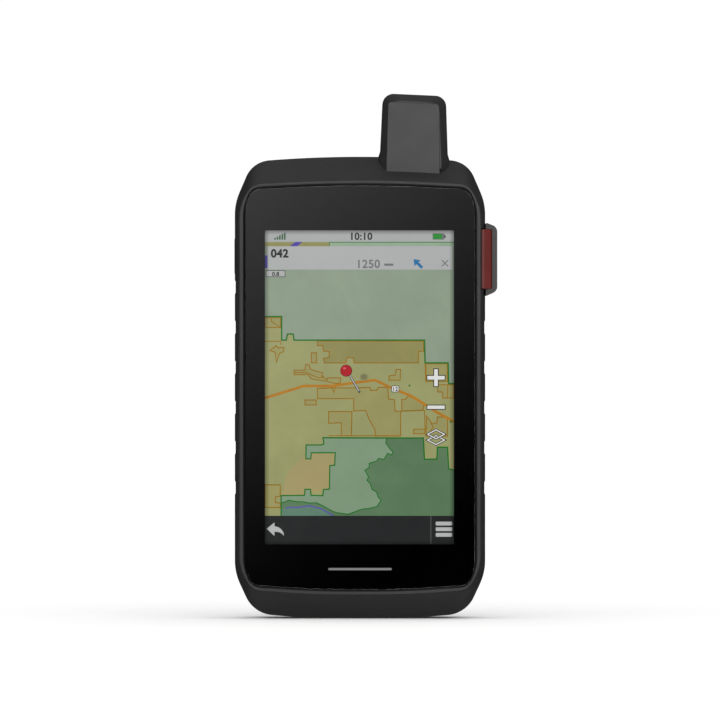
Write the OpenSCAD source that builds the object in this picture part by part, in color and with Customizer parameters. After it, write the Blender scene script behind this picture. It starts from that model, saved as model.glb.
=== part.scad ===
// Handheld GPS receiver with a touchscreen, a stub antenna and a guarded emergency button.
// Frame: X to the right seen from the screen side, Y from the screen to the back, Z up along the
// body. The origin is the middle of the flat face that the receiver stands on.

/* [Body] */
// Width of the body across the side grips
body_w = 87.2; // [86.8:0.1:87.6]
// Height of the body without the antenna
body_h = 160.6; // [160.2:0.1:161]
// Depth from the front rim to the flat of the back
body_d = 27.5; // [27.3:0.1:27.9]

/* [Screen] */
// Width of the lit picture
screen_w = 65.6; // [60:0.1:66]
// Height of the lit picture
screen_h = 108.6; // [100:0.1:109]
// Thickness of the cover glass
glass_t = 1.6; // [1.2:0.1:1.7]

/* [Antenna] */
// How far the antenna rises above the body
antenna_rise = 22.2; // [18:0.1:26]
// Width of the antenna where it leaves the body
antenna_w = 23.3; // [22.8:0.1:23.6]

/* [Side grips] */
// Depth of the finger notches
notch_depth = 0.32; // [0.1:0.02:0.6]
// Distance from one notch to the next
notch_pitch = 13.95; // [13:0.05:14]

/* [Controls] */
// Travel of the power key
power_travel = 0.6; // [0.3:0.1:0.8]
// Travel of the emergency button
sos_travel = 0.8; // [0.3:0.1:1]

/* [Hidden] */
$fn = 48;
GAP = 0.1;                              // assembly gap between neighbouring pieces
EPS = 0.05;

// Depths along Y
y_front = -14.5;                        // front rim and glass face
y_seam = -5;                            // where the front frame meets the rear housing
y_full = 8;                             // end of the full-width side band
y_back = y_front + body_d;              // flat of the back
y_glass = y_front + glass_t;            // back of the glass
y_ledge = -12.6;                        // ledge that carries the glass
y_inner = 9.2;                          // back wall of the inner cavity
y_door = 10.8;                          // floor of the battery door's recess
half_w = body_w / 2;
screen_z = 80.2;                        // middle of the picture

// ---------------------------------------------------------------- outlines
function unit(v) = v / norm(v);
function mix(a, b, t) = a + (b - a) * t;

// Arc of radius r, in n steps, that rounds the corner p1 between p0 and p2
function corner_arc(p0, p1, p2, r, n) =
    let (u = unit(p0 - p1), v = unit(p2 - p1), half = acos(u * v) / 2,
         c = p1 + unit(u + v) * r / sin(half),
         s = p1 + u * r / tan(half) - c,
         e = p1 + v * r / tan(half) - c,
         a0 = atan2(s.y, s.x),
         sweep = (atan2(e.y, e.x) - a0 + 540) % 360 - 180)
    [for (i = [0:n]) c + r * [cos(a0 + sweep * i / n), sin(a0 + sweep * i / n)]];

// Closed outline through corners given as [x, z, radius, steps]
function rounded(c) = [for (i = [0:len(c) - 1])
    let (q = c[i], p = c[(i + len(c) - 1) % len(c)], n = c[(i + 1) % len(c)])
    each corner_arc([p.x, p.y], [q.x, q.y], [n.x, n.y], q[2], q[3])];

// Corners of the right half, bottom to top, as [x, z, radius, steps]: the glass and the silhouette
glass_half = [[15, 10, 300, 2], [half_w - 5.9, 11.5, 4.5, 6], [half_w - 3.5, 18, 16, 3],
    [half_w - 3.5, body_h - 17.5, 16, 3], [half_w - 5.9, body_h - 11.2, 5, 6]];
edge_half = [[18, 0, 200, 2], [half_w - 6.6, 1.6, 11, 6], [half_w, 15.8, 19.5, 3],
    [half_w, body_h - 16.1, 19.5, 3], [half_w - 6.2, body_h - 1.6, 9.5, 6]];
glass_apex = [0, body_h - 9.2, 480, 8];
edge_apex = [0, body_h + 1.3, 405, 8];

// Outline tx of the way across and tz of the way up and down from the glass to the silhouette
function ring_corner(g, e, tx, tz) =
    [mix(g.x, e.x, tx), mix(g.y, e.y, tz), max(2.5, mix(g[2], e[2], tz)), g[3]];
function half_ring(tx, tz) =
    [for (i = [0:len(glass_half) - 1]) ring_corner(glass_half[i], edge_half[i], tx, tz)];
function outline(tx, tz) =
    let (h = half_ring(tx, tz), top = ring_corner(glass_apex, edge_apex, tx, tz), n = len(h) - 1)
    rounded([each h, top, each [for (i = [n:-1:0]) [-h[i].x, h[i].y, h[i][2], h[i][3]]]]);

// The silhouette moved inwards by d on every side
function inset(d) = outline(1 - d / 3.5, 1 - d / 10);

// Solid through outlines given as [y, points], front to back
module loft(rings) {
    n = len(rings[0][1]);
    last = len(rings) - 1;
    points = [for (r = rings) each [for (p = r[1]) [p.x, r[0], p.y]]];
    sides = [for (k = [0:last - 1]) each [for (i = [0:n - 1])
        let (a = k * n + i, b = k * n + (i + 1) % n)
        each [[a, b, b + n], [a, b + n, a + n]]]];
    polyhedron(points, [each sides, [for (i = [n - 1:-1:0]) i], [for (i = [0:n - 1]) last * n + i]]);
}

// Prism of a flat shape drawn in X and Z, from y0 back to y1
module slab(y0, y1) {
    translate([0, y1, 0]) rotate([90, 0, 0]) linear_extrude(y1 - y0) children();
}

// Cylinder along Y, X or Z
module rod_y(x, z, y0, y1, r) {
    translate([x, y1, z]) rotate([90, 0, 0]) cylinder(h = y1 - y0, r = r);
}
module rod_x(y, z, x0, x1, r) {
    translate([x0, y, z]) rotate([0, 90, 0]) cylinder(h = x1 - x0, r = r);
}
module rod_z(x, y, z0, z1, r) {
    translate([x, y, z0]) cylinder(h = z1 - z0, r = r);
}

// Box from two corners
module block(a, b) {
    translate(a) cube(b - a);
}

function box_corners(x0, x1, z0, z1, r, n) = [[x0, z0, r, n], [x1, z0, r, n], [x1, z1, r, n], [x0, z1, r, n]];

// Flat rectangle with round corners
module panel(x0, x1, z0, z1, r = 2, n = 5) {
    polygon(rounded(box_corners(x0, x1, z0, z1, r, n)));
}

// The same on a side of the body: drawn in Y and Z, from x0 to x1
module side_panel(x0, x1, y0, y1, z0, z1, r) {
    translate([x0, 0, 0]) rotate([90, 0, 90]) linear_extrude(x1 - x0) panel(y0, y1, z0, z1, r);
}

// ---------------------------------------------------------------- casing
front_rings = [[y_front, outline(0.5, 0.15)], [y_front + 0.3, outline(0.64, 0.2)],
    [y_front + 1.1, outline(0.74, 0.27)], [-10, outline(0.88, 0.56)],
    [-7, outline(0.97, 0.86)], [y_seam, outline(1, 1)]];
back_edge = 4.5;                        // how far the rounded edge of the back reaches inwards
rear_rings = [[y_seam, outline(1, 1)], [y_full, outline(1, 1)],
    for (a = [22.5, 45, 67.5, 90]) [y_full + (y_back - y_full) * sin(a), inset(back_edge * (1 - cos(a)))]];

screw_x = 37.2;
screw_z = [20, 80, 139];
module at_screws() {
    for (x = [-screw_x, screw_x], z = screw_z) translate([x, 0, z]) children();
}

notch_z = [for (i = [0:5]) 45.5 + notch_pitch * i];
notch_l = 4.9;
module notches(side, count) {
    for (i = [0:count - 1])
        translate([side * (half_w - notch_depth + 1), 1.5, notch_z[i]]) cube([2, 20, notch_l], center = true);
}

// Emergency guard: place of its hinge and its window in the frame
sos_z0 = 114.6;
sos_z1 = 135.4;
sos_axis = [half_w + 1.9, 8.3];

module front_frame() {
    color("#3a3a3b") difference() {
        loft(front_rings);
        slab(y_front - 1, y_ledge) polygon(outline(0.14, 0.045));
        slab(y_ledge - 1, -11) panel(-36, 36, 16, 146, 4);
        difference() {
            slab(-11.4, y_seam + 1) panel(-39, 39, 13, 147.5, 6);
            at_screws() rod_y(0, 0, -12, y_seam, 2.2);
        }
        at_screws() rod_y(0, 0, -9.6, y_seam + 1, 1.05);
        seal_groove();
        antenna_form(GAP);
        notches(-1, 6);
        notches(1, 5);
        block([half_w - 1.55, y_front - 1, sos_z0 - 0.25], [half_w + 2, -8.4, sos_z1 + 0.25]);
    }
}

seal_y = y_seam - 0.6;
module seal_groove() {
    slab(seal_y, y_seam + 1) difference() {
        polygon(outline(0.68, 0.62));
        polygon(outline(0.36, 0.53));
    }
}
module housing_seal() {
    color("#161616") difference() {
        slab(seal_y + 0.02, y_seam) difference() {
            polygon(outline(0.66, 0.615));
            polygon(outline(0.38, 0.535));
        }
        antenna_form(GAP);
    }
}

// Battery bay and the door over it
bay = [29.4, 32.9, 104.1];              // half width, bottom and top of the hollow
door = [33, 12.4, 108];                 // half width, bottom and top
door_axis = [11.9, 110];                // y and z of the door's hinge
lug_x = 12;
lug_w = 6;
latch_z = 23.5;
pad_x = [for (i = [-2:2]) 3.2 * i];
pad_z = 113.7;
contact_x = [-9, -3, 3, 9];
contact_z = 36.5;
speaker_c = [-25, 131];
jack_c = [26, 132];
power_z = [119.5, 132.8];

module rear_housing() {
    color("#343435") difference() {
        union() {
            difference() {
                loft(rear_rings);
                slab(y_seam - 1, y_inner) polygon(inset(2.8));
            }
            slab(-2.6, y_inner + EPS) panel(-bay[0] - 1.5, bay[0] + 1.5, bay[1] - 1.5, bay[2] + 1.5, 3);
            rod_y(0, latch_z, 2.6, y_inner + EPS, 6);
            at_screws() rod_y(0, 0, y_seam, y_inner + EPS, 2.6);
            block([usb_x - 6.5, -1.6, 2], [usb_x + 6.5, 4, 9.4]);
            sos_knuckle();
        }
        slab(-1.4, y_back + 1) panel(-bay[0], bay[0], bay[1], bay[2], 2);
        slab(y_door, y_back + 1) panel(-door[0] - 0.2, door[0] + 0.2, door[1] - 0.2, door[2] + 0.6, 5);
        door_seal_groove(0.02);
        for (s = [-1, 1]) {
            block([s * lug_x - lug_w / 2 - 0.25, door_axis[0] - 1.7, door[2]],
                [s * lug_x + lug_w / 2 + 0.25, y_back + 1, door_axis[1] + 1.8]);
            rod_x(door_axis[0], door_axis[1], s * lug_x - 5.2, s * lug_x + 5.2, 0.65);
        }
        rod_y(0, latch_z, 4, y_back, 4.25);
        at_screws() {
            rod_y(0, 0, y_seam - 1, y_back + 1, 1.1);
            rod_y(0, 0, 8, y_back + 1, 1.85);
        }
        slab(11.75, y_back + 1) panel(-12.1, 12.1, 115.4, 148.6, 2.1);
        for (x = [-9.2, 9.2], z = [118.6, 145.4]) rod_y(x, z, 10, y_back, 0.85);
        for (x = pad_x) rod_y(x, pad_z, y_inner - 1, y_back + 1, 0.95);
        for (x = contact_x) rod_y(x, contact_z, -3, 0, 0.95);
        slab(-3, 0) panel(-8, 8, 60, 79, 1);
        at_speaker_holes() rod_y(0, 0, y_inner - 1, y_back + 1, 0.8);
        jack_recess();
        usb_recess();
        antenna_form(GAP);
        grip_pocket(-1, 118.7);
        grip_pocket(1, 111.6);
        notches(-1, 6);
        notches(1, 5);
        side_panel(-half_w - 1, -38, -2.6, 3.6, power_z[0] - GAP, power_z[1] + GAP, 2);
        side_panel(38, half_w + 1, -3.1, 4.1, 118.9, 131.1, 2);
        lanyard_pocket();
        rod_x(9.6, 3.2, -32.2, -22.8, 1.02);
        rod_z(sos_axis[0], sos_axis[1], 110, 140, 0.75);
    }
}

// Middle knuckle of the guard's hinge, on the right wall of the housing
module sos_knuckle() {
    rod_z(sos_axis[0], sos_axis[1], 118.6, 131.4, 1.6);
    block([half_w - 0.9, sos_axis[1] - 1.4, 118.6], [sos_axis[0], sos_axis[1] + 1.2, 131.4]);
}

module lanyard_pocket() {
    difference() {
        block([-30.5, 6.2, -1], [-24.5, y_back + 1, 6.6]);
        block([-31, 6, -2], [-24, 7.4, 2.4]);
    }
}

module grip_pocket(side, top) {
    inner = half_w - 1.25;
    x0 = side > 0 ? inner : -half_w - 1;
    side_panel(x0, x0 + 1 + 1.25, y_seam - 1, y_full + 0.2, 30.9, top + GAP, 0.6);
}

module side_grip(side, top, count) {
    x0 = side > 0 ? half_w - 1.2 : -half_w;
    color("#232324") difference() {
        side_panel(x0, x0 + 1.2, y_seam + 0.05, y_full + 0.1, 31, top, 0.6);
        notches(side, count);
    }
}

// ---------------------------------------------------------------- screen stack
module cover_glass() {
    color("#050506") slab(y_front, y_glass) polygon(outline(0, 0));
}
module glass_gasket() {
    color("#0c0c0c") slab(y_front + 0.15, y_ledge) difference() {
        polygon(outline(0.13, 0.041));
        polygon(outline(0.01, 0.004));
    }
}
module glass_adhesive() {
    color("#101010") slab(y_glass, y_ledge) difference() {
        polygon(outline(0, 0));
        panel(-36, 36, 16, 146, 4);
    }
}
module touch_sensor() {
    color("#1b2a2a") slab(y_glass, y_ledge) panel(-35.8, 35.8, 16.2, 145.8, 3.8);
}
module display_panel() {
    color("#8fa58a") slab(-12.55, -11.05)
        panel(-screen_w / 2 - 1.7, screen_w / 2 + 1.7, screen_z - screen_h / 2 - 3.5, screen_z + screen_h / 2 + 2, 1);
}
module backlight_unit() {
    color("#d8d8d4") slab(-11, -9.3)
        panel(-screen_w / 2 - 2, screen_w / 2 + 2, screen_z - screen_h / 2 - 4, screen_z + screen_h / 2 + 2.5, 1);
}
module chassis_plate() {
    color("#8c8f92") difference() {
        slab(-9.2, -8.2) panel(-32.8, 32.8, 14.5, 146, 3);
        for (x = [-20, 0, 20], z = [50, 80, 110]) rod_y(x, z, -10, -8, 5);
        at_board_screws() rod_y(0, 0, -10, -8, 0.85);
        slab(-10, -8) panel(-13, 13, 17, 21, 1);
    }
}
// Ribbon that runs from the panel's foot through the chassis to the board
module display_flex() {
    color("#b5651d") {
        block([-12, -11.8, 18.6], [12, -7.05, 18.75]);
        block([-12, -11.8, 18.75], [12, -11.6, 21.8]);
        block([-12, -7.25, 18.75], [12, -7.05, 22]);
    }
}

// ---------------------------------------------------------------- electronics
module at_board_screws() {
    for (x = [-29.5, 29.5], z = [25, 138]) translate([x, 0, z]) children();
}
module main_board() {
    color("#1f5a33") difference() {
        slab(-7, -5.8) panel(-32.8, 32.8, 15, 145.5, 3);
        at_board_screws() rod_y(0, 0, -8, -5, 0.85);
    }
}
module shield_cans() {
    color("#b9bcc0") for (b = [[-26, -4, 44, 56], [4, 26, 44, 56], [-26, 26, 84, 102], [-28, -2, 108, 122]])
        slab(-5.8, -3.8) panel(b[0], b[1], b[2], b[3], 0.8);
}
module board_chips() {
    color("#202022") {
        for (b = [[6, 16, 108, 118], [19, 27, 109, 117], [-24, -16, 28, 36], [14, 22, 26, 32]])
            slab(-5.8, -4.6) panel(b[0], b[1], b[2], b[3], 0.3);
        for (i = [0:7]) block([-12 + 3 * i, -5.8, 126], [-10.8 + 3 * i, -5.1, 128]);
    }
}
module gnss_patch_antenna() {
    color("#cdbd96") {
        slab(-5.8, -1.8) panel(-20, -2, 131, 144, 0.6);
        rod_y(-11, 137.5, -1.8, -1.5, 1.2);
    }
}
module card_socket() {
    color("#c4c7ca") difference() {
        slab(-5.8, -4.2) panel(-7, 7, 62, 76, 0.5);
        block([-5.7, -5.45, 62.8], [5.7, -4.55, 77]);
    }
}
module memory_card() {
    color("#18181a") block([-5.5, -5.4, 63], [5.5, -4.6, 77.6]);
}
module vibration_motor() {
    color("#b0b0b2") rod_y(-24, 22.2, -5.8, -2.8, 4.2);
}
module battery_pack() {
    color("#1d2630") slab(-1.2, 10.6) panel(-29, 29, 33.3, 103.7, 2);
}
module battery_contacts() {
    color("#d4af37") for (x = contact_x) rod_y(x, contact_z, -5.8, -1.2, 0.85);
}
module board_screws() {
    color("#9a9a9c") at_board_screws() {
        rod_y(0, 0, -8.8, -5.8, 0.75);
        rod_y(0, 0, -5.8, -4.9, 1.5);
    }
}

// ---------------------------------------------------------------- antenna
ant_x = 18.85;                          // middle of the antenna
ant_z = body_h + antenna_rise;
ant_y = [-10.8, 9.5];
ant_core = [18.85, -0.6];
// Front silhouette grown by d; the top edge falls slightly to the right
function antenna_outline(d) =
    rounded([[ant_x - antenna_w / 2 - 0.35 - d, 151.5 - d, 0.5, 1],
        [ant_x + antenna_w / 2 + 0.2 + d, 151.5 - d, 0.5, 1],
        [ant_x + antenna_w / 2 - 0.6 + d, ant_z - 0.9 + d, 3.9, 6],
        [ant_x - antenna_w / 2 + 0.75 - d, ant_z + 0.1 + d, 3.9, 6]]);

// Whole antenna, grown by d for the opening that holds it
module antenna_form(d) {
    loft([[ant_y[0] - d, antenna_outline(d - 2.3)], [ant_y[0] + 2.8, antenna_outline(d)],
        [6.4, antenna_outline(d)], [8.7, antenna_outline(d - 0.9)], [ant_y[1] + d, antenna_outline(d - 2.8)]]);
}
module antenna_housing() {
    color("#323233") difference() {
        antenna_form(0);
        rod_z(ant_core[0], ant_core[1], 140, ant_z - 3, 8.3);
        slab(ant_y[0] - 1, ant_y[0] + 0.8) cover_shape(EPS);
    }
}
module cover_shape(d) {
    polygon(rounded([[ant_x - 9.6 - d, 154 - d, 0.4, 2], [ant_x + 8.8 + d, 154 - d, 0.4, 2],
        [ant_x + 8.7 + d, ant_z - 3.8 + d, 0.9, 3], [ant_x - 8.9 - d, ant_z - 2.9 + d, 0.9, 3]]));
}
module antenna_front_cover() {
    color("#58585a") slab(ant_y[0], ant_y[0] + 0.75) cover_shape(0);
}
module antenna_former() {
    color("#e6e2d6") difference() {
        rod_z(ant_core[0], ant_core[1], 152.5, ant_z - 4, 6.2);
        rod_z(ant_core[0], ant_core[1], 150, ant_z, 4.8);
    }
}
// Four wires wound on the former, as stacks of short upright strips that step round it
winding_steps = 20;
module antenna_winding() {
    pitch = (ant_z - 160) / winding_steps;
    color("#b87333") translate([ant_core[0], ant_core[1], 154])
        for (q = [0:90:270], i = [0:winding_steps - 1]) translate([0, 0, i * pitch])
            rotate(q + i * 12) translate([6.25, -0.9, 0]) cube([0.5, 1.8, pitch + EPS]);
}
module antenna_coax() {
    color("#a08020") rod_z(ant_core[0], -3.2, 139, 151, 0.7);
    color("#d4af37") rod_y(ant_core[0], 139, -5.8, -2.5, 1.6);
}

// ---------------------------------------------------------------- emergency button and guard
guard_d = 4.1;                          // how far the guard stands off the side wall
guard_wall_x = half_w + 0.12;           // clear of the side wall
guard_shape = rounded([[guard_wall_x, sos_z0 - 2.5, 0.3, 1], [half_w + guard_d, sos_z0 - 0.75, 2.4, 5],
    [half_w + guard_d, sos_z1 + 0.7, 2.4, 5], [guard_wall_x, sos_z1 + 2.3, 0.3, 1]]);
module sos_guard() {
    color("#3d3b3b") difference() {
        union() {
            slab(-11, 6.2) polygon(guard_shape);
            for (z = [[sos_z0 - 0.8, 118.3], [131.7, sos_z1 + 0.8]]) {
                rod_z(sos_axis[0], sos_axis[1], z[0], z[1], 1.6);
                block([sos_axis[0] - 0.9, 5.5, z[0]], [sos_axis[0] + 1.6, sos_axis[1], z[1]]);
            }
        }
        block([half_w - 1, -9, sos_z0 + 0.4], [half_w + 2.7, 4.9, sos_z1 - 0.4]);
        block([half_w - 2, -12, sos_z0], [half_w + 2.3, -8.6, sos_z1]);
        rod_z(sos_axis[0], sos_axis[1], 110, 140, 0.75);
    }
}
// Red lift tab in the front of the guard; its left lip lies in the frame's side
module sos_guard_insert() {
    color("#8a2f2a") translate([0, 0, sos_z0 + 0.02]) linear_extrude(sos_z1 - sos_z0 - 0.04)
        polygon([[half_w - 1.5, -12.9], [half_w - 0.35, -12.9], [half_w + 2.25, -10.6], [half_w + 2.25, -8.65],
            [half_w + 0.15, -8.65], [half_w - 0.2, -9.4], [half_w - 1.5, -11.4]]);
}
module sos_hinge_pin() {
    color("#9a9a9c") rod_z(sos_axis[0], sos_axis[1], sos_z0 - 0.7, sos_z1 + 0.7, 0.7);
}
// Both side keys end in a flange; its inner face leaves a gap to the switch when the key is pressed
key_back = 39.5;
pressed_gap = 0.2;
module sos_button() {
    color("#a23a2c") {
        side_panel(40.6, half_w + 1, -3, 4, 119, 131, 1.9);
        side_panel(key_back, 40.6, -4, 5, 118, 132, 1.9);
    }
}
module sos_switch() {
    color("#303032") {
        block([30.5, -5.8, 122], [37.3, 3.2, 128]);
        rod_x(0.5, 125, 37.3, key_back - sos_travel - pressed_gap, 1.2);
    }
}
module power_key() {
    color("#2a2a2b") {
        side_panel(-half_w - 0.2, -40.6, -2.5, 3.5, power_z[0], power_z[1], 1.9);
        side_panel(-40.6, -key_back, -3.5, 4.5, power_z[0] - 1, power_z[1] + 1, 1.9);
    }
}
module power_switch() {
    mid = (power_z[0] + power_z[1]) / 2;
    color("#303032") {
        block([-37.5, -5.8, mid - 3], [-30.5, 3.2, mid + 3]);
        rod_x(0.5, mid, -key_back + power_travel + pressed_gap, -37.5, 1.2);
    }
}

// ---------------------------------------------------------------- battery door and its latch
door_face = 14.3;
knob_r = 8.5;
module door_seal_groove(d) {
    slab(10 - d, y_door + 0.2) difference() {
        panel(-32.2 - d, 32.2 + d, 30.7 - d, 106.3 + d, 3);
        panel(-31 + d, 31 - d, 31.9 + d, 105.1 - d, 2.5);
    }
}
module battery_door_seal() {
    color("#141414") slab(10, y_door + 0.05) difference() {
        panel(-32.2, 32.2, 30.7, 106.3, 3);
        panel(-31, 31, 31.9, 105.1, 2.5);
    }
}
module battery_door() {
    y0 = y_door + GAP;
    color("#2f2f30") difference() {
        union() {
            slab(y0, door_face - 0.8) panel(-door[0], door[0], door[1], door[2], 5);
            slab(door_face - 0.8, door_face) panel(-door[0] + 0.8, door[0] - 0.8, door[1] + 0.8, door[2] - 0.8, 4.4);
            for (s = [-1, 1]) {
                rod_x(door_axis[0], door_axis[1], s * lug_x - lug_w / 2, s * lug_x + lug_w / 2, 1.4);
                block([s * lug_x - lug_w / 2, y0, door[2] - 1],
                    [s * lug_x + lug_w / 2, door_axis[0] + 1.4, door_axis[1]]);
            }
        }
        rod_x(door_axis[0], door_axis[1], -20, 20, 0.66);
        rod_y(0, latch_z, 12.2, door_face + 1, knob_r + 0.2);
        rod_y(0, latch_z, y_door, 12.5, 2.85);
        rod_y(0, latch_z, y_door, 11.5, 4.6);
        for (z = [46:6:94]) slab(door_face - 0.35, door_face + 1) panel(-24, 24, z, z + 2.4, 1.1, 3);
    }
}
module door_hinge_pins() {
    color("#9a9a9c") for (s = [-1, 1]) rod_x(door_axis[0], door_axis[1], s * lug_x - 5.1, s * lug_x + 5.1, 0.6);
}
ring_axis = [14.3, latch_z + 4.9];      // y and z of the D-ring's pin
ring_leg = 5.1;                         // half width of the ring between its wire's middles
ring_drop = 6;                          // straight length of each leg
module latch_knob() {
    color("#4a4a4b") difference() {
        union() {
            rod_y(0, latch_z, 12.3, 15.4, knob_r);
            rod_y(0, latch_z, 6, 12.3, 2.7);
        }
        rod_y(0, ring_axis[1] - ring_drop, 13, 16, 6.5);
        slab(13, 16) panel(-6.4, 6.4, ring_axis[1] - ring_drop, latch_z + 3.1, 1);
        for (s = [-1, 1]) slab(12.95, 16) panel(s * ring_leg - 1.2, s * ring_leg + 1.2, latch_z + 2, latch_z + 6.3, 0.4);
        rod_x(ring_axis[0], ring_axis[1], -7.4, 7.4, 0.55);
    }
}
module latch_clip() {
    color("#b0b0b2") difference() {
        rod_y(0, latch_z, 10.95, 11.45, 4.2);
        rod_y(0, latch_z, 10, 12, 2.72);
    }
}
module latch_insert() {
    color("#c9a227") difference() {
        rod_y(0, latch_z, 4.05, 10.6, 4.2);
        rod_y(0, latch_z, 4.6, 11, 3.1);
    }
}
module d_ring() {
    color("#77787a") difference() {
        union() {
            for (s = [-1, 1]) {
                rod_z(s * ring_leg, ring_axis[0], ring_axis[1] - ring_drop, ring_axis[1], 0.8);
                rod_x(ring_axis[0], ring_axis[1], s * ring_leg - 0.9, s * ring_leg + 0.9, 1.15);
            }
            translate([0, ring_axis[0], ring_axis[1] - ring_drop]) rotate([90, 0, 0]) rotate([0, 0, 180])
                rotate_extrude(angle = 180) translate([ring_leg, 0]) circle(r = 0.8);
        }
        rod_x(ring_axis[0], ring_axis[1], -8, 8, 0.53);
    }
}
module d_ring_pin() {
    color("#9a9a9c") rod_x(ring_axis[0], ring_axis[1], -6.9, 6.9, 0.48);
}

// ---------------------------------------------------------------- back fittings
module mounting_spine() {
    color("#29292a") difference() {
        union() {
            slab(11.8, 13.3) panel(-12, 12, 115.5, 148.5, 2);
            slab(13.2, 16) panel(-4.2, 4.2, 118, 146, 1);
            slab(16, 18) panel(-7, 7, 118, 146, 2);
            slab(18, 18.5) panel(-6.5, 6.5, 118.5, 145.5, 1.6);
        }
        for (x = [-9.2, 9.2], z = [118.6, 145.4]) {
            rod_y(x, z, 11, 14, 0.9);
            rod_y(x, z, 12.6, 14, 1.75);
        }
        slab(17.3, 19) panel(-3, 3, 124, 128, 1);
    }
}
module spine_screws() {
    color("#8a8a8c") for (x = [-9.2, 9.2], z = [118.6, 145.4]) difference() {
        union() {
            rod_y(x, z, 10.1, 12.65, 0.8);
            rod_y(x, z, 12.65, 13.5, 1.6);
        }
        translate([x, 14, z]) rotate([90, 0, 0]) cylinder(h = 1, r = 0.8, $fn = 6);
    }
}
module cradle_contacts() {
    color("#d4af37") for (x = pad_x) rod_y(x, pad_z, y_inner, y_back + 0.05, 0.9);
}
module at_speaker_holes() {
    for (i = [-2:2], j = [-2:2]) if (abs(i) + abs(j) < 4)
        translate([speaker_c[0] + 2.6 * i, 0, speaker_c[1] + 2.6 * j]) children();
}
module speaker() {
    color("#5a5a5c") rod_y(speaker_c[0], speaker_c[1], 4.4, 8.9, 8.4);
}
module speaker_mesh() {
    color("#101010") rod_y(speaker_c[0], speaker_c[1], 8.9, y_inner, 8.4);
}

cap_t = 1.5;                            // thickness of the rubber weather caps
jack_axis = [jack_c[0] + 6.9, y_back - 0.85];
module jack_recess() {
    slab(y_back - 1.65, y_back + 1) panel(jack_c[0] - 6, jack_c[0] + 8.1, jack_c[1] - 5.2, jack_c[1] + 5.2, 1.2);
    rod_y(jack_c[0], jack_c[1], y_inner - 1, y_back, 2.65);
}
module antenna_jack() {
    color("#d4af37") difference() {
        rod_y(jack_c[0], jack_c[1], 5.6, 11.3, 2.6);
        rod_y(jack_c[0], jack_c[1], 6.8, 12, 1.75);
    }
    color("#d4af37") rod_y(jack_c[0], jack_c[1], 6.8, 8.4, 0.4);
}
module antenna_jack_cap() {
    color("#1c1c1d") {
        slab(y_back - cap_t, y_back) panel(jack_c[0] - 5.8, jack_axis[0], jack_c[1] - 5, jack_c[1] + 5, 1);
        rod_z(jack_axis[0], jack_axis[1], jack_c[1] - 5, jack_c[1] + 5, 0.72);
        rod_y(jack_c[0], jack_c[1], y_back - cap_t - 0.6, y_back - cap_t + EPS, 1.3);
    }
}
usb_x = 18;                             // middle of the port across and in depth
usb_y = 1.2;
usb_axis = [5.4, 1.75];                 // y and z of the cap's hinge
module usb_recess() {
    block([usb_x - 8.3, -2.4, -1], [usb_x + 8.3, 6.4, 2.6]);
    block([usb_x - 4.6, usb_y - 1.9, 1], [usb_x + 4.6, usb_y + 1.9, 10]);
}
module usb_port() {
    color("#c4c7ca") difference() {
        translate([usb_x, usb_y, 5.9]) cube([9, 3.6, 6.4], center = true);
        translate([usb_x, usb_y, 5.5]) cube([8.2, 2.8, 6.4], center = true);
    }
    color("#101010") translate([usb_x, usb_y, 6.1]) cube([6.4, 0.8, 5.2], center = true);
}
module usb_cap() {
    color("#1c1c1d") {
        translate([usb_x - 8, -2.2, 1]) cube([16, usb_axis[0] + 2.2, cap_t]);
        rod_x(usb_axis[0], usb_axis[1], usb_x - 8, usb_x + 8, 0.75);
    }
}
module lanyard_bar() {
    color("#9a9a9c") rod_x(9.6, 3.2, -32.1, -22.9, 1);
}
module housing_screws() {
    color("#7d7d80") at_screws() difference() {
        union() {
            rod_y(0, 0, -9.5, 8.05, 1);
            rod_y(0, 0, 8.05, 10.2, 1.7);
        }
        translate([0, 11, 0]) rotate([90, 0, 0]) cylinder(h = 2, r = 1, $fn = 6);
    }
}

front_frame();
rear_housing();
housing_seal();
side_grip(-1, 118.7, 6);  // side_grip_left
side_grip(1, 111.6, 5);  // side_grip_right
cover_glass();
glass_gasket();
glass_adhesive();
touch_sensor();
display_panel();
backlight_unit();
chassis_plate();
display_flex();
main_board();
shield_cans();
board_chips();
gnss_patch_antenna();
card_socket();
memory_card();
vibration_motor();
battery_pack();
battery_contacts();
antenna_housing();
antenna_front_cover();
antenna_former();
antenna_winding();
antenna_coax();
sos_guard();
sos_guard_insert();
sos_hinge_pin();
sos_button();
sos_switch();
power_key();
power_switch();
battery_door();
battery_door_seal();
door_hinge_pins();
latch_knob();
latch_clip();
latch_insert();
d_ring();
d_ring_pin();
mounting_spine();
spine_screws();
cradle_contacts();
speaker();
speaker_mesh();
antenna_jack();
antenna_jack_cap();
usb_port();
usb_cap();
lanyard_bar();
housing_screws();
board_screws();
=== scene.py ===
"""Looks of a handheld gps unit, built round its CAD frame. Lengths are in mm until a mesh is made."""
import math

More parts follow.
